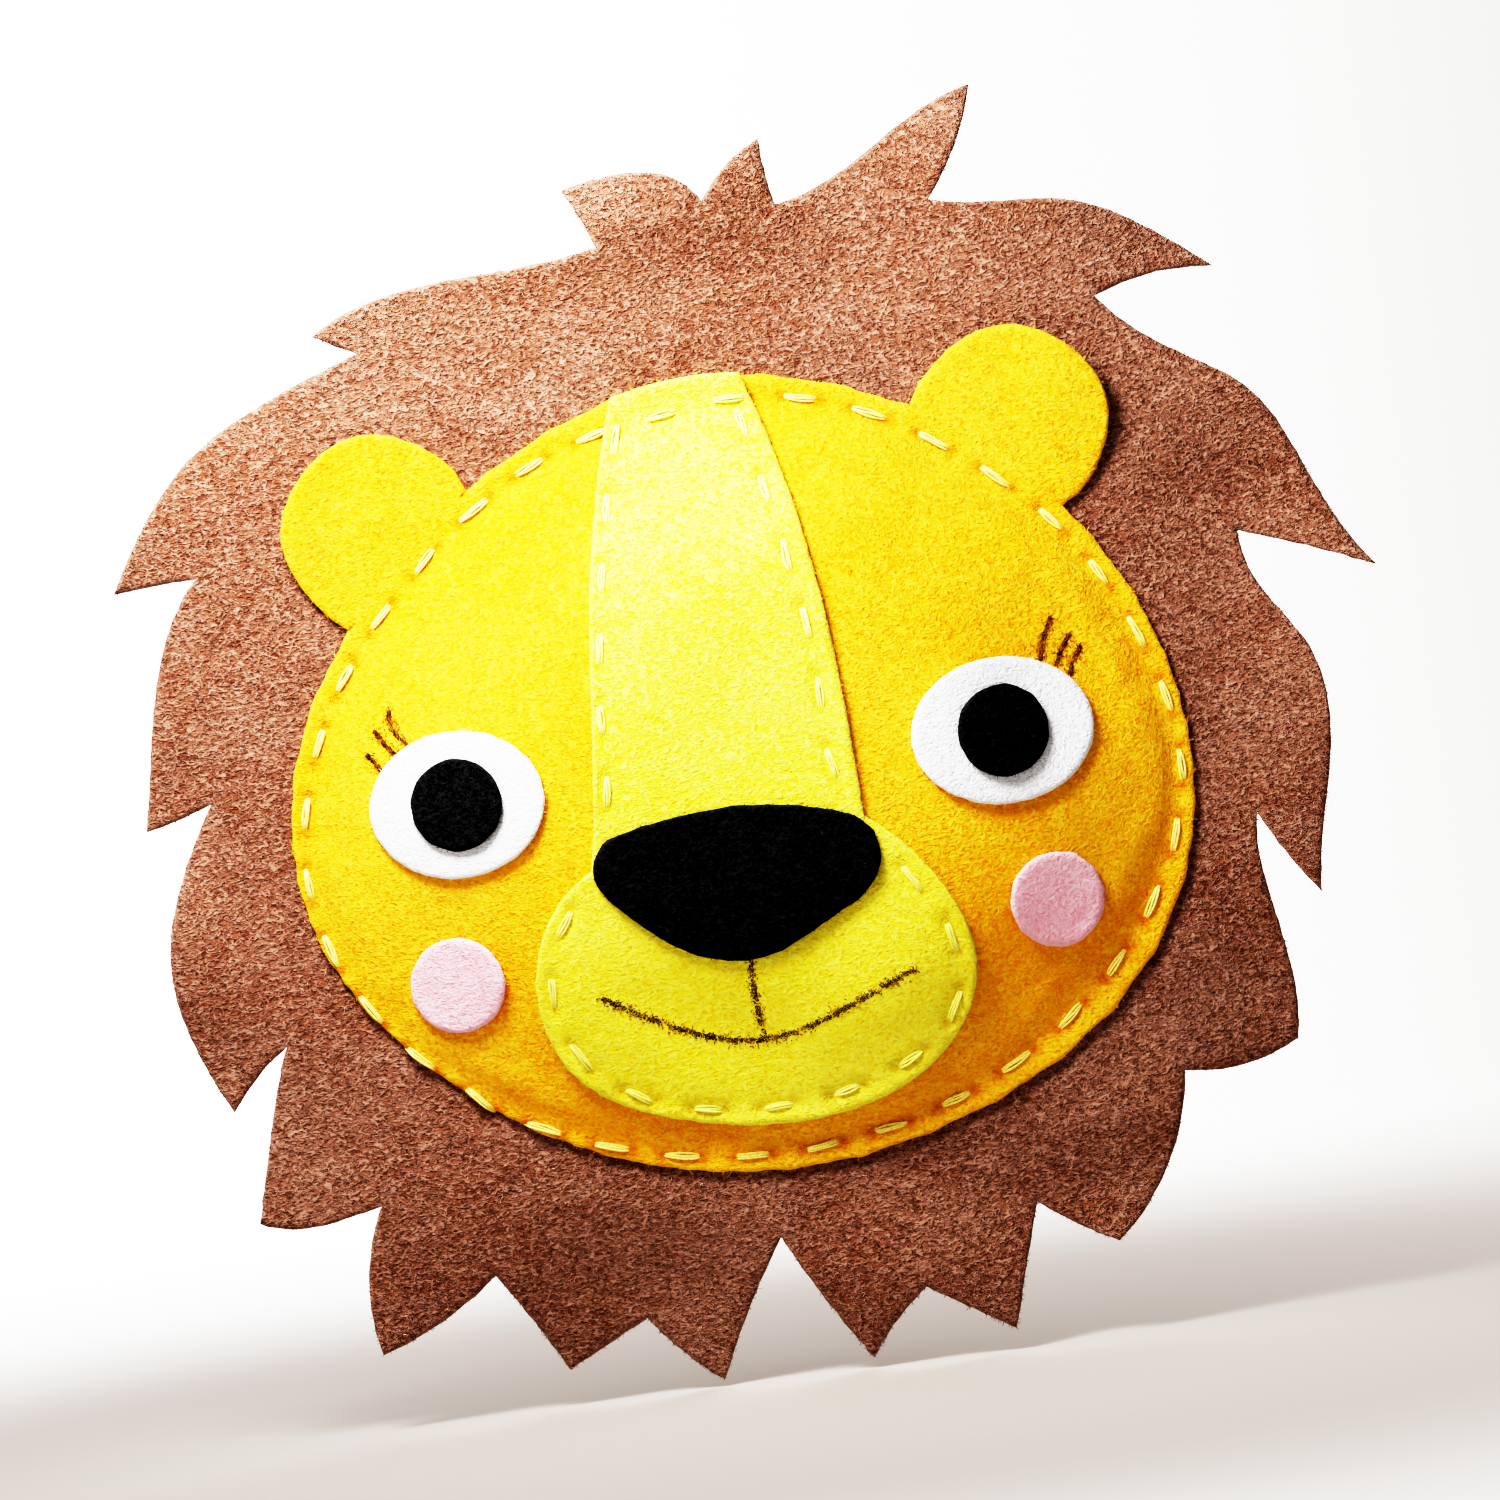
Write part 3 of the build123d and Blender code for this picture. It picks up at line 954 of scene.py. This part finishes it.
def felt(slot, dark, middle, light, curl=0.6, pit=0.6, bump=0.6, sheen=0.1, blotch=0.3,
         rim=0.5, hole=0.8):
    """Craft felt: soft blotches, pits between the fibres darkened with painted shade, and curled fibres lying every
    way.

    A curl is a thin contour line of smooth noise, broken up into short lengths.  The felt is
    paler along its cut edges, where fibre ends catch the light."""
    n = Nodes(slot)
    SLOTS[n.material.name] = slot
    place = n.vector("MULTIPLY", n.place(), (COMBED / MM, 1 / MM, 1 / MM))
    curls = None
    for scale, shift in ((1.1, 0.0), (1.5, 40.0), (2.1, 90.0)):
        field = n.noise(n.vector("ADD", place, (shift, shift, shift)), scale, 1.0, 0.5)
        far = n.math("ABSOLUTE", n.math("SUBTRACT", field.outputs["Fac"], 0.5), 0.0)
        line = n.ramp(far, 0.085, 0.02)
        line = n.math("MULTIPLY", line, n.ramp(field.outputs["Color"], 0.35, 0.6))
        curls = line if curls is None else n.math("MAXIMUM", curls, line)
    pits = n.ramp(n.noise(place, 2.3, 2.0).outputs["Fac"], 0.48, 0.34)
    clumps = n.noise(place, 0.4, 4.0, 0.72).outputs["Fac"]
    patches = n.noise(place, 0.06, 3.0).outputs["Fac"]
    between = tuple((a + b) / 2 for a, b in zip(dark, middle))
    body = n.blend(n.ramp(clumps, 0.36, 0.64), between, middle)
    body = n.blend(n.math("MULTIPLY", n.ramp(patches, 0.35, 0.65), blotch), body, light)
    body = n.blend(n.math("MULTIPLY", curls, curl), body, light)
    # Painted shade in the pits between the fibres, which the bump below also sinks
    body = n.blend(n.math("MULTIPLY", pits, pit), body, dark)
    cut = n.add("ShaderNodeAttribute", attribute_name="cut").outputs["Fac"]
    body = n.blend(n.math("MULTIPLY", cut, rim), body, light)
    # Painted shade round both ends of each stitch, where the thread pulls the felt into a dimple
    stitch_shading = n.add("ShaderNodeAttribute", attribute_name="hole").outputs["Fac"]
    shadowed = tuple(channel * share for channel, share in zip(dark, (0.7, 0.5, 0.5)))
    body = n.blend(n.math("MULTIPLY", stitch_shading, hole), body, shadowed)
    n.join(body, "Base Color")
    height = n.math("ADD", n.math("MULTIPLY", curls, 0.6), clumps)
    height = n.math("SUBTRACT", height, n.math("MULTIPLY", pits, 0.6))
    n.bump(height, bump, 0.3)
    return n.finish(0.95, 0.1, sheen, light)


def thread(slot, dark, light):
    """Stranded cotton floss: fine filaments along the strands and a soft gloss."""
    n = Nodes(slot)
    SLOTS[n.material.name] = slot
    grain = n.noise(n.place(), 4200.0, 3.0).outputs["Fac"]
    n.join(n.blend(n.ramp(grain, 0.25, 0.6), dark, light), "Base Color")
    n.bump(grain, 0.25, 0.08)
    return n.finish(0.55, 0.35, 0.25)


def loose(name, slot, dark, light):
    """Single fibres, or ink on them: lighter and darker lengths."""
    n = Nodes(name)
    SLOTS[n.material.name] = slot
    grain = n.noise(n.place(), 700.0, 2.0).outputs["Fac"]
    n.join(n.blend(n.ramp(grain, 0.35, 0.65), dark, light), "Base Color")
    return n.finish(0.8, 0.2, 0.15)


MANE = felt("mane_felt", (0.20, 0.085, 0.045), (0.345, 0.187, 0.133), (0.57, 0.405, 0.34),
            pit=0.5, bump=1.0, sheen=0.2, blotch=0.25)
GOLD = felt("face_felt", (0.89, 0.36, 0.022), (0.95, 0.485, 0.04), (0.97, 0.71, 0.17))
LEMON = felt("snout_felt", (0.90, 0.66, 0.055), (0.97, 0.84, 0.11), (0.98, 0.94, 0.30),
             curl=0.7, hole=0.35)
BLACK = felt("black_felt", (0.006, 0.006, 0.006), (0.013, 0.013, 0.014), (0.10, 0.10, 0.105),
             curl=0.55, sheen=0.0, blotch=0.05, rim=0.3)
WHITE = felt("white_felt", (0.93, 0.92, 0.94), (0.98, 0.97, 0.98), (0.99, 0.99, 0.99), curl=0.4)
PINK = felt("pink_felt", (0.92, 0.50, 0.55), (0.97, 0.61, 0.66), (0.98, 0.73, 0.78))
PALE_FLOSS = thread("seam_floss", (0.87, 0.60, 0.12), (0.98, 0.88, 0.38))
LEMON_FLOSS = thread("snout_floss", (0.92, 0.76, 0.13), (0.98, 0.96, 0.38))
BROWN_FLOSS = thread("brown_thread", (0.10, 0.05, 0.035), (0.22, 0.12, 0.09))
INK = loose("drawn_ink", "drawn_ink", (0.10, 0.04, 0.012), (0.30, 0.13, 0.03))
MOUTH_INK = loose("mouth_ink", "drawn_ink", (0.03, 0.022, 0.01), (0.20, 0.15, 0.04))
SMEAR = loose("smeared_ink", "drawn_ink", (0.35, 0.20, 0.03), (0.60, 0.36, 0.05))
MANE_PALE = loose("mane_pale_fibre", "mane_felt", (0.40, 0.24, 0.19), (0.78, 0.58, 0.50))
MANE_DARK = loose("mane_dark_fibre", "mane_felt", (0.12, 0.05, 0.035), (0.22, 0.11, 0.08))
GOLD_PALE = loose("gold_pale_fibre", "face_felt", (0.95, 0.62, 0.10), (0.97, 0.78, 0.28))
GOLD_DARK = loose("gold_dark_fibre", "face_felt", (0.90, 0.42, 0.03), (0.95, 0.52, 0.05))
LEMON_PALE = loose("lemon_pale_fibre", "snout_felt", (0.96, 0.84, 0.18), (0.97, 0.92, 0.32))
BLACK_PALE = loose("black_pale_fibre", "black_felt", (0.03, 0.03, 0.03), (0.15, 0.15, 0.16))
WHITE_PALE = loose("white_pale_fibre", "white_felt", (0.90, 0.89, 0.91), (0.97, 0.96, 0.97))
PINK_PALE = loose("pink_pale_fibre", "pink_felt", (0.94, 0.58, 0.63), (0.97, 0.76, 0.80))

# ------------ the padded face
FACE = outline("face_felt")
SEAM_STITCHES = stitches_of("face_seam_stitches", front=True)
SEAM = np.array([s[0] for s in SEAM_STITCHES])[::-1]


def with_ears(face, ears):
    """The face's outline with each straight bend replaced by its ear's, and the bends."""
    bends = []
    for ear in ears:
        gaps = lengths(np.roll(ear, -1, axis=0) - ear)
        last = int(np.argmax(gaps))
        ear = np.roll(ear, -last - 1, axis=0)
        start = int(np.argmin(lengths(face - ear[0])))
        end = int(np.argmin(lengths(face - ear[-1])))
        bends.append((ear[0].copy(), ear[-1].copy()))
        face = np.roll(face, -end, axis=0)
        start = (start - end) % len(face)
        face = np.concatenate([face[:start + 1], ear[1:-1]])
    return face, bends


HEAD, BENDS = with_ears(FACE, [outline("left_ear"), outline("right_ear")])


def padded_out(ground):
    """Fills the ground with the height of the face over the mane: a flat felt face, held
    down by its stitches and blown up between them by its stuffing."""
    plan = Plan(HEAD, CLOTH_STEP)
    mesh = bpy.data.meshes.new("cloth")
    mesh.from_pydata(world(raised(plan.points, 0)).tolist(), [], plan.triangles.tolist())
    cloth = placed("cloth", mesh)
    to_seam = distance_to(even_loop(SEAM, 0.5), plan.points)
    padded = within(plan.points, SEAM)
    held = distance_to(stitch_points(SEAM_STITCHES, 1.0, 9), plan.points) < HELD_REACH
    held |= ~padded & (to_seam > HELD_REACH)
    groups = {"held": held * 1.0, "padded": padded * smoothstep(to_seam, 0, 6)}
    for name, weights in groups.items():
        group = cloth.vertex_groups.new(name=name)
        for index, weight in enumerate(weights):
            group.add([index], float(weight), "REPLACE")
    modifier = cloth.modifiers.new("cloth", "CLOTH")
    modifier.settings.effector_weights.gravity = 0
    for key, value in CLOTH_SETTINGS.items():
        setattr(modifier.settings, key, value)
    modifier.point_cache.frame_start = 1
    modifier.point_cache.frame_end = CLOTH_FRAMES
    for number in range(1, CLOTH_FRAMES + 1):
        bpy.context.scene.frame_set(number)
    shaped = cloth.evaluated_get(bpy.context.evaluated_depsgraph_get())
    places = [v.co.copy() for v in shaped.data.vertices]
    tree = BVHTree.FromPolygons(places, plan.triangles.tolist())
    for index, (x, y) in enumerate(ground.points):
        hit = tree.ray_cast(Vector((x * MM, -0.2, y * MM)), Vector((0, 1, 0)))[0]
        ground.height[index] = 0 if hit is None else -hit.y / MM
    bpy.context.scene.frame_set(1)
    bpy.data.objects.remove(cloth)


ground = Ground(HEAD.min(0) - 4, HEAD.max(0) + 4)
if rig.quick():
    reach = distance_to(even_loop(SEAM, 1), ground.points) * within(ground.points, SEAM)
    ground.height = 1 - (1 - np.clip(reach / reach.max(), 0, 1)) ** 3
else:
    padded_out(ground)
ground.height = CROWN * (np.clip(ground.height, 0, None) / ground.height.max()) ** 1.2
ground.smoothed(3)
puckered = ground.height.copy()
ground.smoothed(400)
to_seam = distance_to(even_loop(SEAM, 1), ground.points)
ground.height = puckered + (ground.height - puckered) * smoothstep(to_seam, 2.5, 9)
# The same shoulder all round, with only some of the simulated folds left in it
inside_seam = within(ground.points, SEAM)
reaches = np.arange(0, SHOULDER_REACH, 0.8)
rings = (inside_seam & (np.abs(to_seam - one) < 0.6) for one in reaches)
shoulder = [ground.height[ring].mean() for ring in rings]
evened = np.interp(to_seam, reaches, shoulder) * inside_seam
ground.height += (evened - ground.height) * SHOULDER_SHARE * smoothstep(to_seam, 21, 9)
SNOUT_STITCHES = stitches_of("snout_stitches", front=True)
to_stitch = distance_to(stitch_points(SEAM_STITCHES, 0, 9), ground.points)
ground.height -= STITCH_PULL * np.exp(-(to_stitch / SEAM_STITCH_REACH) ** 2)
ground.height -= SEAM_PULL * np.exp(-(to_seam / SEAM_REACH) ** 2)
to_stitch = distance_to(stitch_points(SNOUT_STITCHES, 0, 9), ground.points)
ground.height -= STITCH_PULL * np.exp(-(to_stitch / SNOUT_STITCH_REACH) ** 2)
ground.height = np.clip(ground.height, -0.1, None)


def beyond(bend):
    """True for the points on the ear's side of a bend."""
    def test(points):
        return cross(bend[1] - bend[0], points - bend[0]) < 0
    return test


head_loop = even_loop(HEAD, 0.8)
to_middle = distance_to(np.array([s[0] for s in SEAM_STITCHES]), head_loop)
pull = 0.4 * np.exp(-((to_middle - 3.2) / 1.8) ** 2)
head_plan = Plan(head_loop + inward(head_loop) * pull[:, None], 0.8, BENDS)
face_plan = head_plan.part(lambda p: ~(beyond(BENDS[0])(p) | beyond(BENDS[1])(p)))
face, face_top = felt_piece(
    "face_pillow", face_plan, MANE_FELT, ground.at(face_plan.points) + FELT, GOLD,
    stitches=SEAM_STITCHES
)
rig.replaces(face, "face_felt", "stuffing")
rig.padded(face, fill=0.6)

for side, bend in zip(("left", "right"), BENDS):
    plan = head_plan.part(beyond(bend))
    middle = (bend[0] + bend[1]) / 2
    out = np.array([bend[1][1] - bend[0][1], bend[0][0] - bend[1][0]])
    out /= lengths(out)
    reach = (plan.points - middle) @ out
    wave = EAR_WAVE * ripple(plan.points, 17, 31) * smoothstep(reach, 1, 9)
    lift = EAR_LIFT * smoothstep(reach, 1, 24) + wave
    low = MANE_FELT + ground.at(plan.points) + np.clip(lift, 0, None)
    ear, top = felt_piece(f"{side}_ear_felt", plan, low, FELT, GOLD, body=None)
    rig.replaces(ear, f"{side}_ear")
    fuzz = [
        fibres(f"{side}_ear_pale_fibres", plan, top, 420, GOLD_PALE, 41, body=None),
        fibres(f"{side}_ear_dark_fibres", plan, top, 200, GOLD_DARK, 42, body=None),
    ]
    start = world(np.array([*middle, MANE_FELT + FELT]))
    end = world(np.array([*(middle + out * EAR_BEND), MANE_FELT + FELT]))
    for part in (ear, *fuzz):
        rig.blend(part, "head", f"{side}_ear", start=tuple(start), end=tuple(end))
    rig.sheet(ear, held="laid", rests_on=["mane"], **sheet_facts(plan))


# ------------ the mane
POCKET = outline("hand_pocket")


def mane_wave(points):
    """How far the mane's back stands out of the flat beyond the face and the pocket.

    It waves, droops back above and below the face, and curls a little forward at the sides."""
    sewn = np.concatenate([even_loop(HEAD, 1), even_loop(POCKET, 1)])
    free = distance_to(sewn, points)
    free[within(points, HEAD) | within(points, POCKET)] = 0
    wave = 1.9 * ripple(points, 70, 11) + 1.2 * ripple(points, 33, 12)
    away = points - FACE_MIDDLE
    sideways = (away[:, 0] / lengths(away)) ** 2
    return wave * smoothstep(free, 2, 26) + (5.5 * sideways - 3.4) * smoothstep(free, 2, 40)


mane_plan = Plan(outline("mane"), 1.0)
mane_under = mane_wave(mane_plan.points)
mane, mane_top = felt_piece("lion_mane", mane_plan, mane_under, MANE_FELT, MANE)
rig.replaces(mane, "mane")
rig.sheet(mane, held="stretched", rests_on=["hand_pocket"], **sheet_facts(mane_plan))
fibres("mane_pale_fibres", mane_plan, mane_top, 9500, MANE_PALE, 51, length=0.9)
fibres("mane_dark_fibres", mane_plan, mane_top, 2600, MANE_DARK, 52, length=0.8)
fibres("mane_back_fibres", mane_plan, MANE_FELT - mane_top, 4200, MANE_PALE, 55, length=0.9,
       facing=-1)
fibres("face_pale_fibres", face_plan, face_top, 3000, GOLD_PALE, 53)
fibres("face_dark_fibres", face_plan, face_top, 1600, GOLD_DARK, 54)


# ------------ the hand's pocket behind
POCKET_LEFT, POCKET_MOUTH = POCKET.min(0)
POCKET_RIGHT, POCKET_TOP = POCKET.max(0)
POCKET_HALF_WIDTH = (POCKET_RIGHT - POCKET_LEFT) / 2
POCKET_LENGTH = POCKET_TOP - POCKET_MOUTH
POCKET_DEPTH = cad_box("hand_pocket")[1][2] - cad_box("hand_pocket")[0][2] - FELT
POCKET_FLANGE = 7.0


def pocket_bulge(points):
    """How far the pocket's felt stands off the mane's back at each point."""
    across = points[:, 0] / (POCKET_HALF_WIDTH - POCKET_FLANGE)
    up = (points[:, 1] - POCKET_MOUTH) / (POCKET_LENGTH - POCKET_FLANGE)
    out = np.clip(across ** 2 + up ** 2, 0, 1)
    fold = 0.7 * ripple(points, 45, 21) + 0.1 * ripple(points, 14, 22)
    return (POCKET_DEPTH - 1 + fold) * (1 - out ** 1.5) ** 1.25


def steepness(bulge, points, reach=0.3):
    """How much longer a line on the bulging felt is than its shadow on the table."""
    x = (bulge(points + (reach, 0)) - bulge(points - (reach, 0))) / (2 * reach)
    y = (bulge(points + (0, reach)) - bulge(points - (0, reach))) / (2 * reach)
    return np.sqrt(1 + x ** 2 + y ** 2)


pocket_plan = Plan(POCKET, 1.2)
pocket_stretch = steepness(pocket_bulge, pocket_plan.points)
pocket_thick = FELT * pocket_stretch
pocket_under = -pocket_bulge(pocket_plan.points) - pocket_thick - 0.02
pocket, _ = felt_piece("hand_pocket_felt", pocket_plan, pocket_under, pocket_thick, MANE)
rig.replaces(pocket, "hand_pocket")
cut_lines = [
    straight(np.array([POCKET_LEFT, POCKET_MOUTH]), np.array([POCKET_RIGHT, POCKET_MOUTH]), 0.5),
    straight(np.array([0, POCKET_MOUTH]), np.array([0, POCKET_TOP]), 0.5),
]
cut_size = tuple(
    lengths(np.diff(raised(line, pocket_bulge(line)), axis=0)).sum() * MM for line in cut_lines
)
triangle_stretch = pocket_stretch[pocket_plan.triangles].mean(1)
cut_area = (pocket_plan.areas() * triangle_stretch).sum() * MM * MM
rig.sheet(pocket, flat=cut_size, held="hung", rests_on=["mane"], area=cut_area)
fibres("pocket_fibres", pocket_plan, -pocket_under, 3600, MANE_PALE, 56, length=0.9,
       facing=-1)
pocket_seam = floss(
    "pocket_thread", stitches_of("pocket_stitches", front=False), skin_of([pocket], facing=-1),
    BROWN_THREAD, BROWN_FLOSS, 75, facing=-1
)
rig.replaces(pocket_seam, "pocket_stitches")
pocket_end = knot("pocket_end_knot", "pocket_knot", BROWN_THREAD, BROWN_FLOSS, 76)
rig.replaces(pocket_end, "pocket_knot")


# ------------ what is laid on the face
def laid(node, layers, material, pale, count, step=0.8, lift=0.12, seed=60,
         rests_on="face_felt", stitches=()):
    """A cut of felt laid on the padded face, on that many layers of felt."""
    plan = Plan(outline(node), step)
    loose_edge = np.exp(-plan.inside / 1.5)
    loose_edge *= np.clip(1 + 0.6 * ripple(plan.points, 9, seed), 0, None)
    low = MANE_FELT + ground.at(plan.points) + layers * FELT + 0.02 + lift * loose_edge
    piece, top = felt_piece(f"{node}_piece", plan, low, FELT, material, stitches)
    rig.replaces(piece, node)
    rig.sheet(piece, held="laid", rests_on=[rests_on], **sheet_facts(plan))
    fibres(f"{node}_fibres", plan, top, count, pale, seed, length=0.8, width=0.06,
           edge_share=0.4)
    return piece


snout = laid("snout_panel", 1, LEMON, LEMON_PALE, 1500, step=0.6, lift=0.3, seed=61,
             stitches=SNOUT_STITCHES)
laid("nose", 2, BLACK, BLACK_PALE, 260, seed=62, rests_on="snout_panel")
for number, side in enumerate(("left", "right")):
    laid(f"{side}_eye_white", 1, WHITE, WHITE_PALE, 200, seed=63 + number)
    laid(f"{side}_pupil", 2, BLACK, BLACK_PALE, 90, step=0.6, seed=65 + number,
         rests_on=f"{side}_eye_white")
    laid(f"{side}_cheek", 1, PINK, PINK_PALE, 110, step=0.6, seed=67 + number)

face_skin = skin_of([face, snout])
seam = floss("face_seam_floss", SEAM_STITCHES, face_skin, FLOSS, PALE_FLOSS, 71)
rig.replaces(seam, "face_seam_stitches")
floss("seam_floss_behind", stitches_of("face_seam_stitches", front=False),
      skin_of([mane], facing=-1), FLOSS, PALE_FLOSS, 72, facing=-1)
snout_seam = floss("snout_floss_stitches", SNOUT_STITCHES, face_skin, FLOSS, LEMON_FLOSS, 73)
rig.replaces(snout_seam, "snout_stitches")
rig.replaces(knot("seam_end_knot", "seam_knot", FLOSS, PALE_FLOSS, 74), "seam_knot")

mouth = ink("mouth_ink", "mouth_line", face_skin, 3600, MOUTH_INK, 81, length=0.2,
            width=0.12, margin=0.2)
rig.replaces(mouth, "mouth_line")
ink("mouth_smear", "mouth_line", face_skin, 900, SMEAR, 82, stray=0.3)
for number, side in enumerate(("left", "right")):
    lashes = ink(f"{side}_lash_ink", f"{side}_lashes", face_skin, 560, INK, 83 + number,
                 length=0.6, width=0.12, margin=0.08, strokes=True)
    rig.replaces(lashes, f"{side}_lashes")
    ink(f"{side}_lash_smear", f"{side}_lashes", face_skin, 420, SMEAR, 85 + number,
        stray=0.4)

# ------------ camera, floor and light
PICTURE_ROLL = math.radians(7.8)
CAMERA_TARGET = Vector((1.1, 0, 50.9)) * MM
CAMERA_DISTANCE = 0.9
FRAME_WIDTH = 197.4 * MM
FLOOR_RADIUS = 0.5

camera_data = bpy.data.cameras.new("camera")
camera_data.sensor_width = 36
camera_data.lens = 36 * CAMERA_DISTANCE / FRAME_WIDTH
camera_data.clip_start = 0.01
camera = placed("camera", camera_data)
camera.location = CAMERA_TARGET - Vector((0, CAMERA_DISTANCE, 0))
camera.rotation_euler = (math.pi / 2, PICTURE_ROLL, 0)
bpy.context.scene.camera = camera


def light(name, place, target, size, power):
    data = bpy.data.lights.new(name, "AREA")
    data.energy = power
    data.size = size
    lamp = placed(name, data)
    lamp.location = place
    lamp.visible_camera = False
    lamp.rotation_euler = (Vector(target) - Vector(place)).to_track_quat("-Z", "Y").to_euler()


light("window", (-0.075, -0.15, 0.235), (-0.02, 0, 0.05), 0.10, 0.52)
light("room", (-0.25, -0.85, 0.0), (0, 0, 0.05), 0.9, 0.60)
light("behind", (0.3, 0.9, 0.6), (0, 0, 0.05), 0.9, 6)

# What is seen around the puppet turns from white to a soft grey of painted shade towards the right
BRIGHT = (1.0, 1.0, 1.0)
SHADE = (0.45, 0.44, 0.41)
SHADE_FROM, SHADE_TO = -0.02, 0.22

studio = Nodes("studio", bpy.data.worlds)
bpy.context.scene.world = studio.material
background = studio.tree.nodes["Background"]
background.inputs["Color"].default_value = (1, 1, 1, 1)
background.inputs["Strength"].default_value = 0.10
seen = studio.add("ShaderNodeBackground")
sideways = studio.x_of(studio.add("ShaderNodeTexCoord").outputs["Generated"])
far_off = CAMERA_DISTANCE + FLOOR_RADIUS
shaded = studio.ramp(sideways, SHADE_FROM / far_off, SHADE_TO / far_off)
studio.join(studio.blend(shaded, BRIGHT, SHADE), seen.inputs["Color"])
mix = studio.add("ShaderNodeMixShader")
studio.join(studio.add("ShaderNodeLightPath").outputs["Is Camera Ray"], mix.inputs[0])
studio.join(background.outputs[0], mix.inputs[1])
studio.join(seen.outputs[0], mix.inputs[2])
studio.join(mix.outputs[0], studio.tree.nodes["World Output"].inputs["Surface"])

# A film-like contrast: shades fall off with a power of the light, full lights level off
# towards white, and MID_LIGHT is the light that shows as half of it
MID_LIGHT = 0.24
FALL_OFF = 3.2
TONE_STEPS = 12

display = bpy.context.scene.view_settings
display.view_transform = "Standard"
display.use_curve_mapping = True
tones = display.curve_mapping.curves[3].points
for step in range(1, TONE_STEPS):
    lit = (step / TONE_STEPS) ** 2
    tones.new(lit, lit**FALL_OFF / (lit**FALL_OFF + MID_LIGHT**FALL_OFF))
display.curve_mapping.update()

# The floor glows with a painted shadow near the puppet, and fades into what is seen behind it, white turning to
# painted shade towards the right
FLOOR_DROP = 0.5 * MM
FLOOR_SHADOW = (0.31, 0.285, 0.27)
FLOOR_COLOUR = (0.60, 0.56, 0.53)

bpy.ops.mesh.primitive_circle_add(vertices=96, radius=FLOOR_RADIUS, fill_type="NGON")
floor = bpy.context.object
floor.name = "floor"
floor.location = (0, 0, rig.bounds()[0].z - FLOOR_DROP)
pale = Nodes("floor_white")
spot = pale.place()
from_middle = pale.add("ShaderNodeVectorMath", operation="LENGTH")
pale.join(spot, from_middle.inputs[0])
fade = pale.ramp(from_middle.outputs["Value"], -0.12, 0.2)
pale.join(fade, "Emission Strength")
pale.join(pale.blend(fade, FLOOR_COLOUR, (0.0, 0.0, 0.0)), "Base Color")
to_right = pale.ramp(pale.x_of(spot), SHADE_FROM, SHADE_TO)
far = pale.ramp(from_middle.outputs["Value"], 0.12, 0.45)
behind = pale.blend(to_right, BRIGHT, SHADE)
pale.join(pale.blend(far, FLOOR_SHADOW, behind), "Emission Color")
pale.finish(0.9, 0.0, 0.0)
floor.data.materials.append(pale.material)
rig.stage(floor)

json.dump(
    {"cad": [list(c) for c in CAD_BOX], "visual": [list(c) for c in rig.bounds()]},
    open("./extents.json", "w"),
)
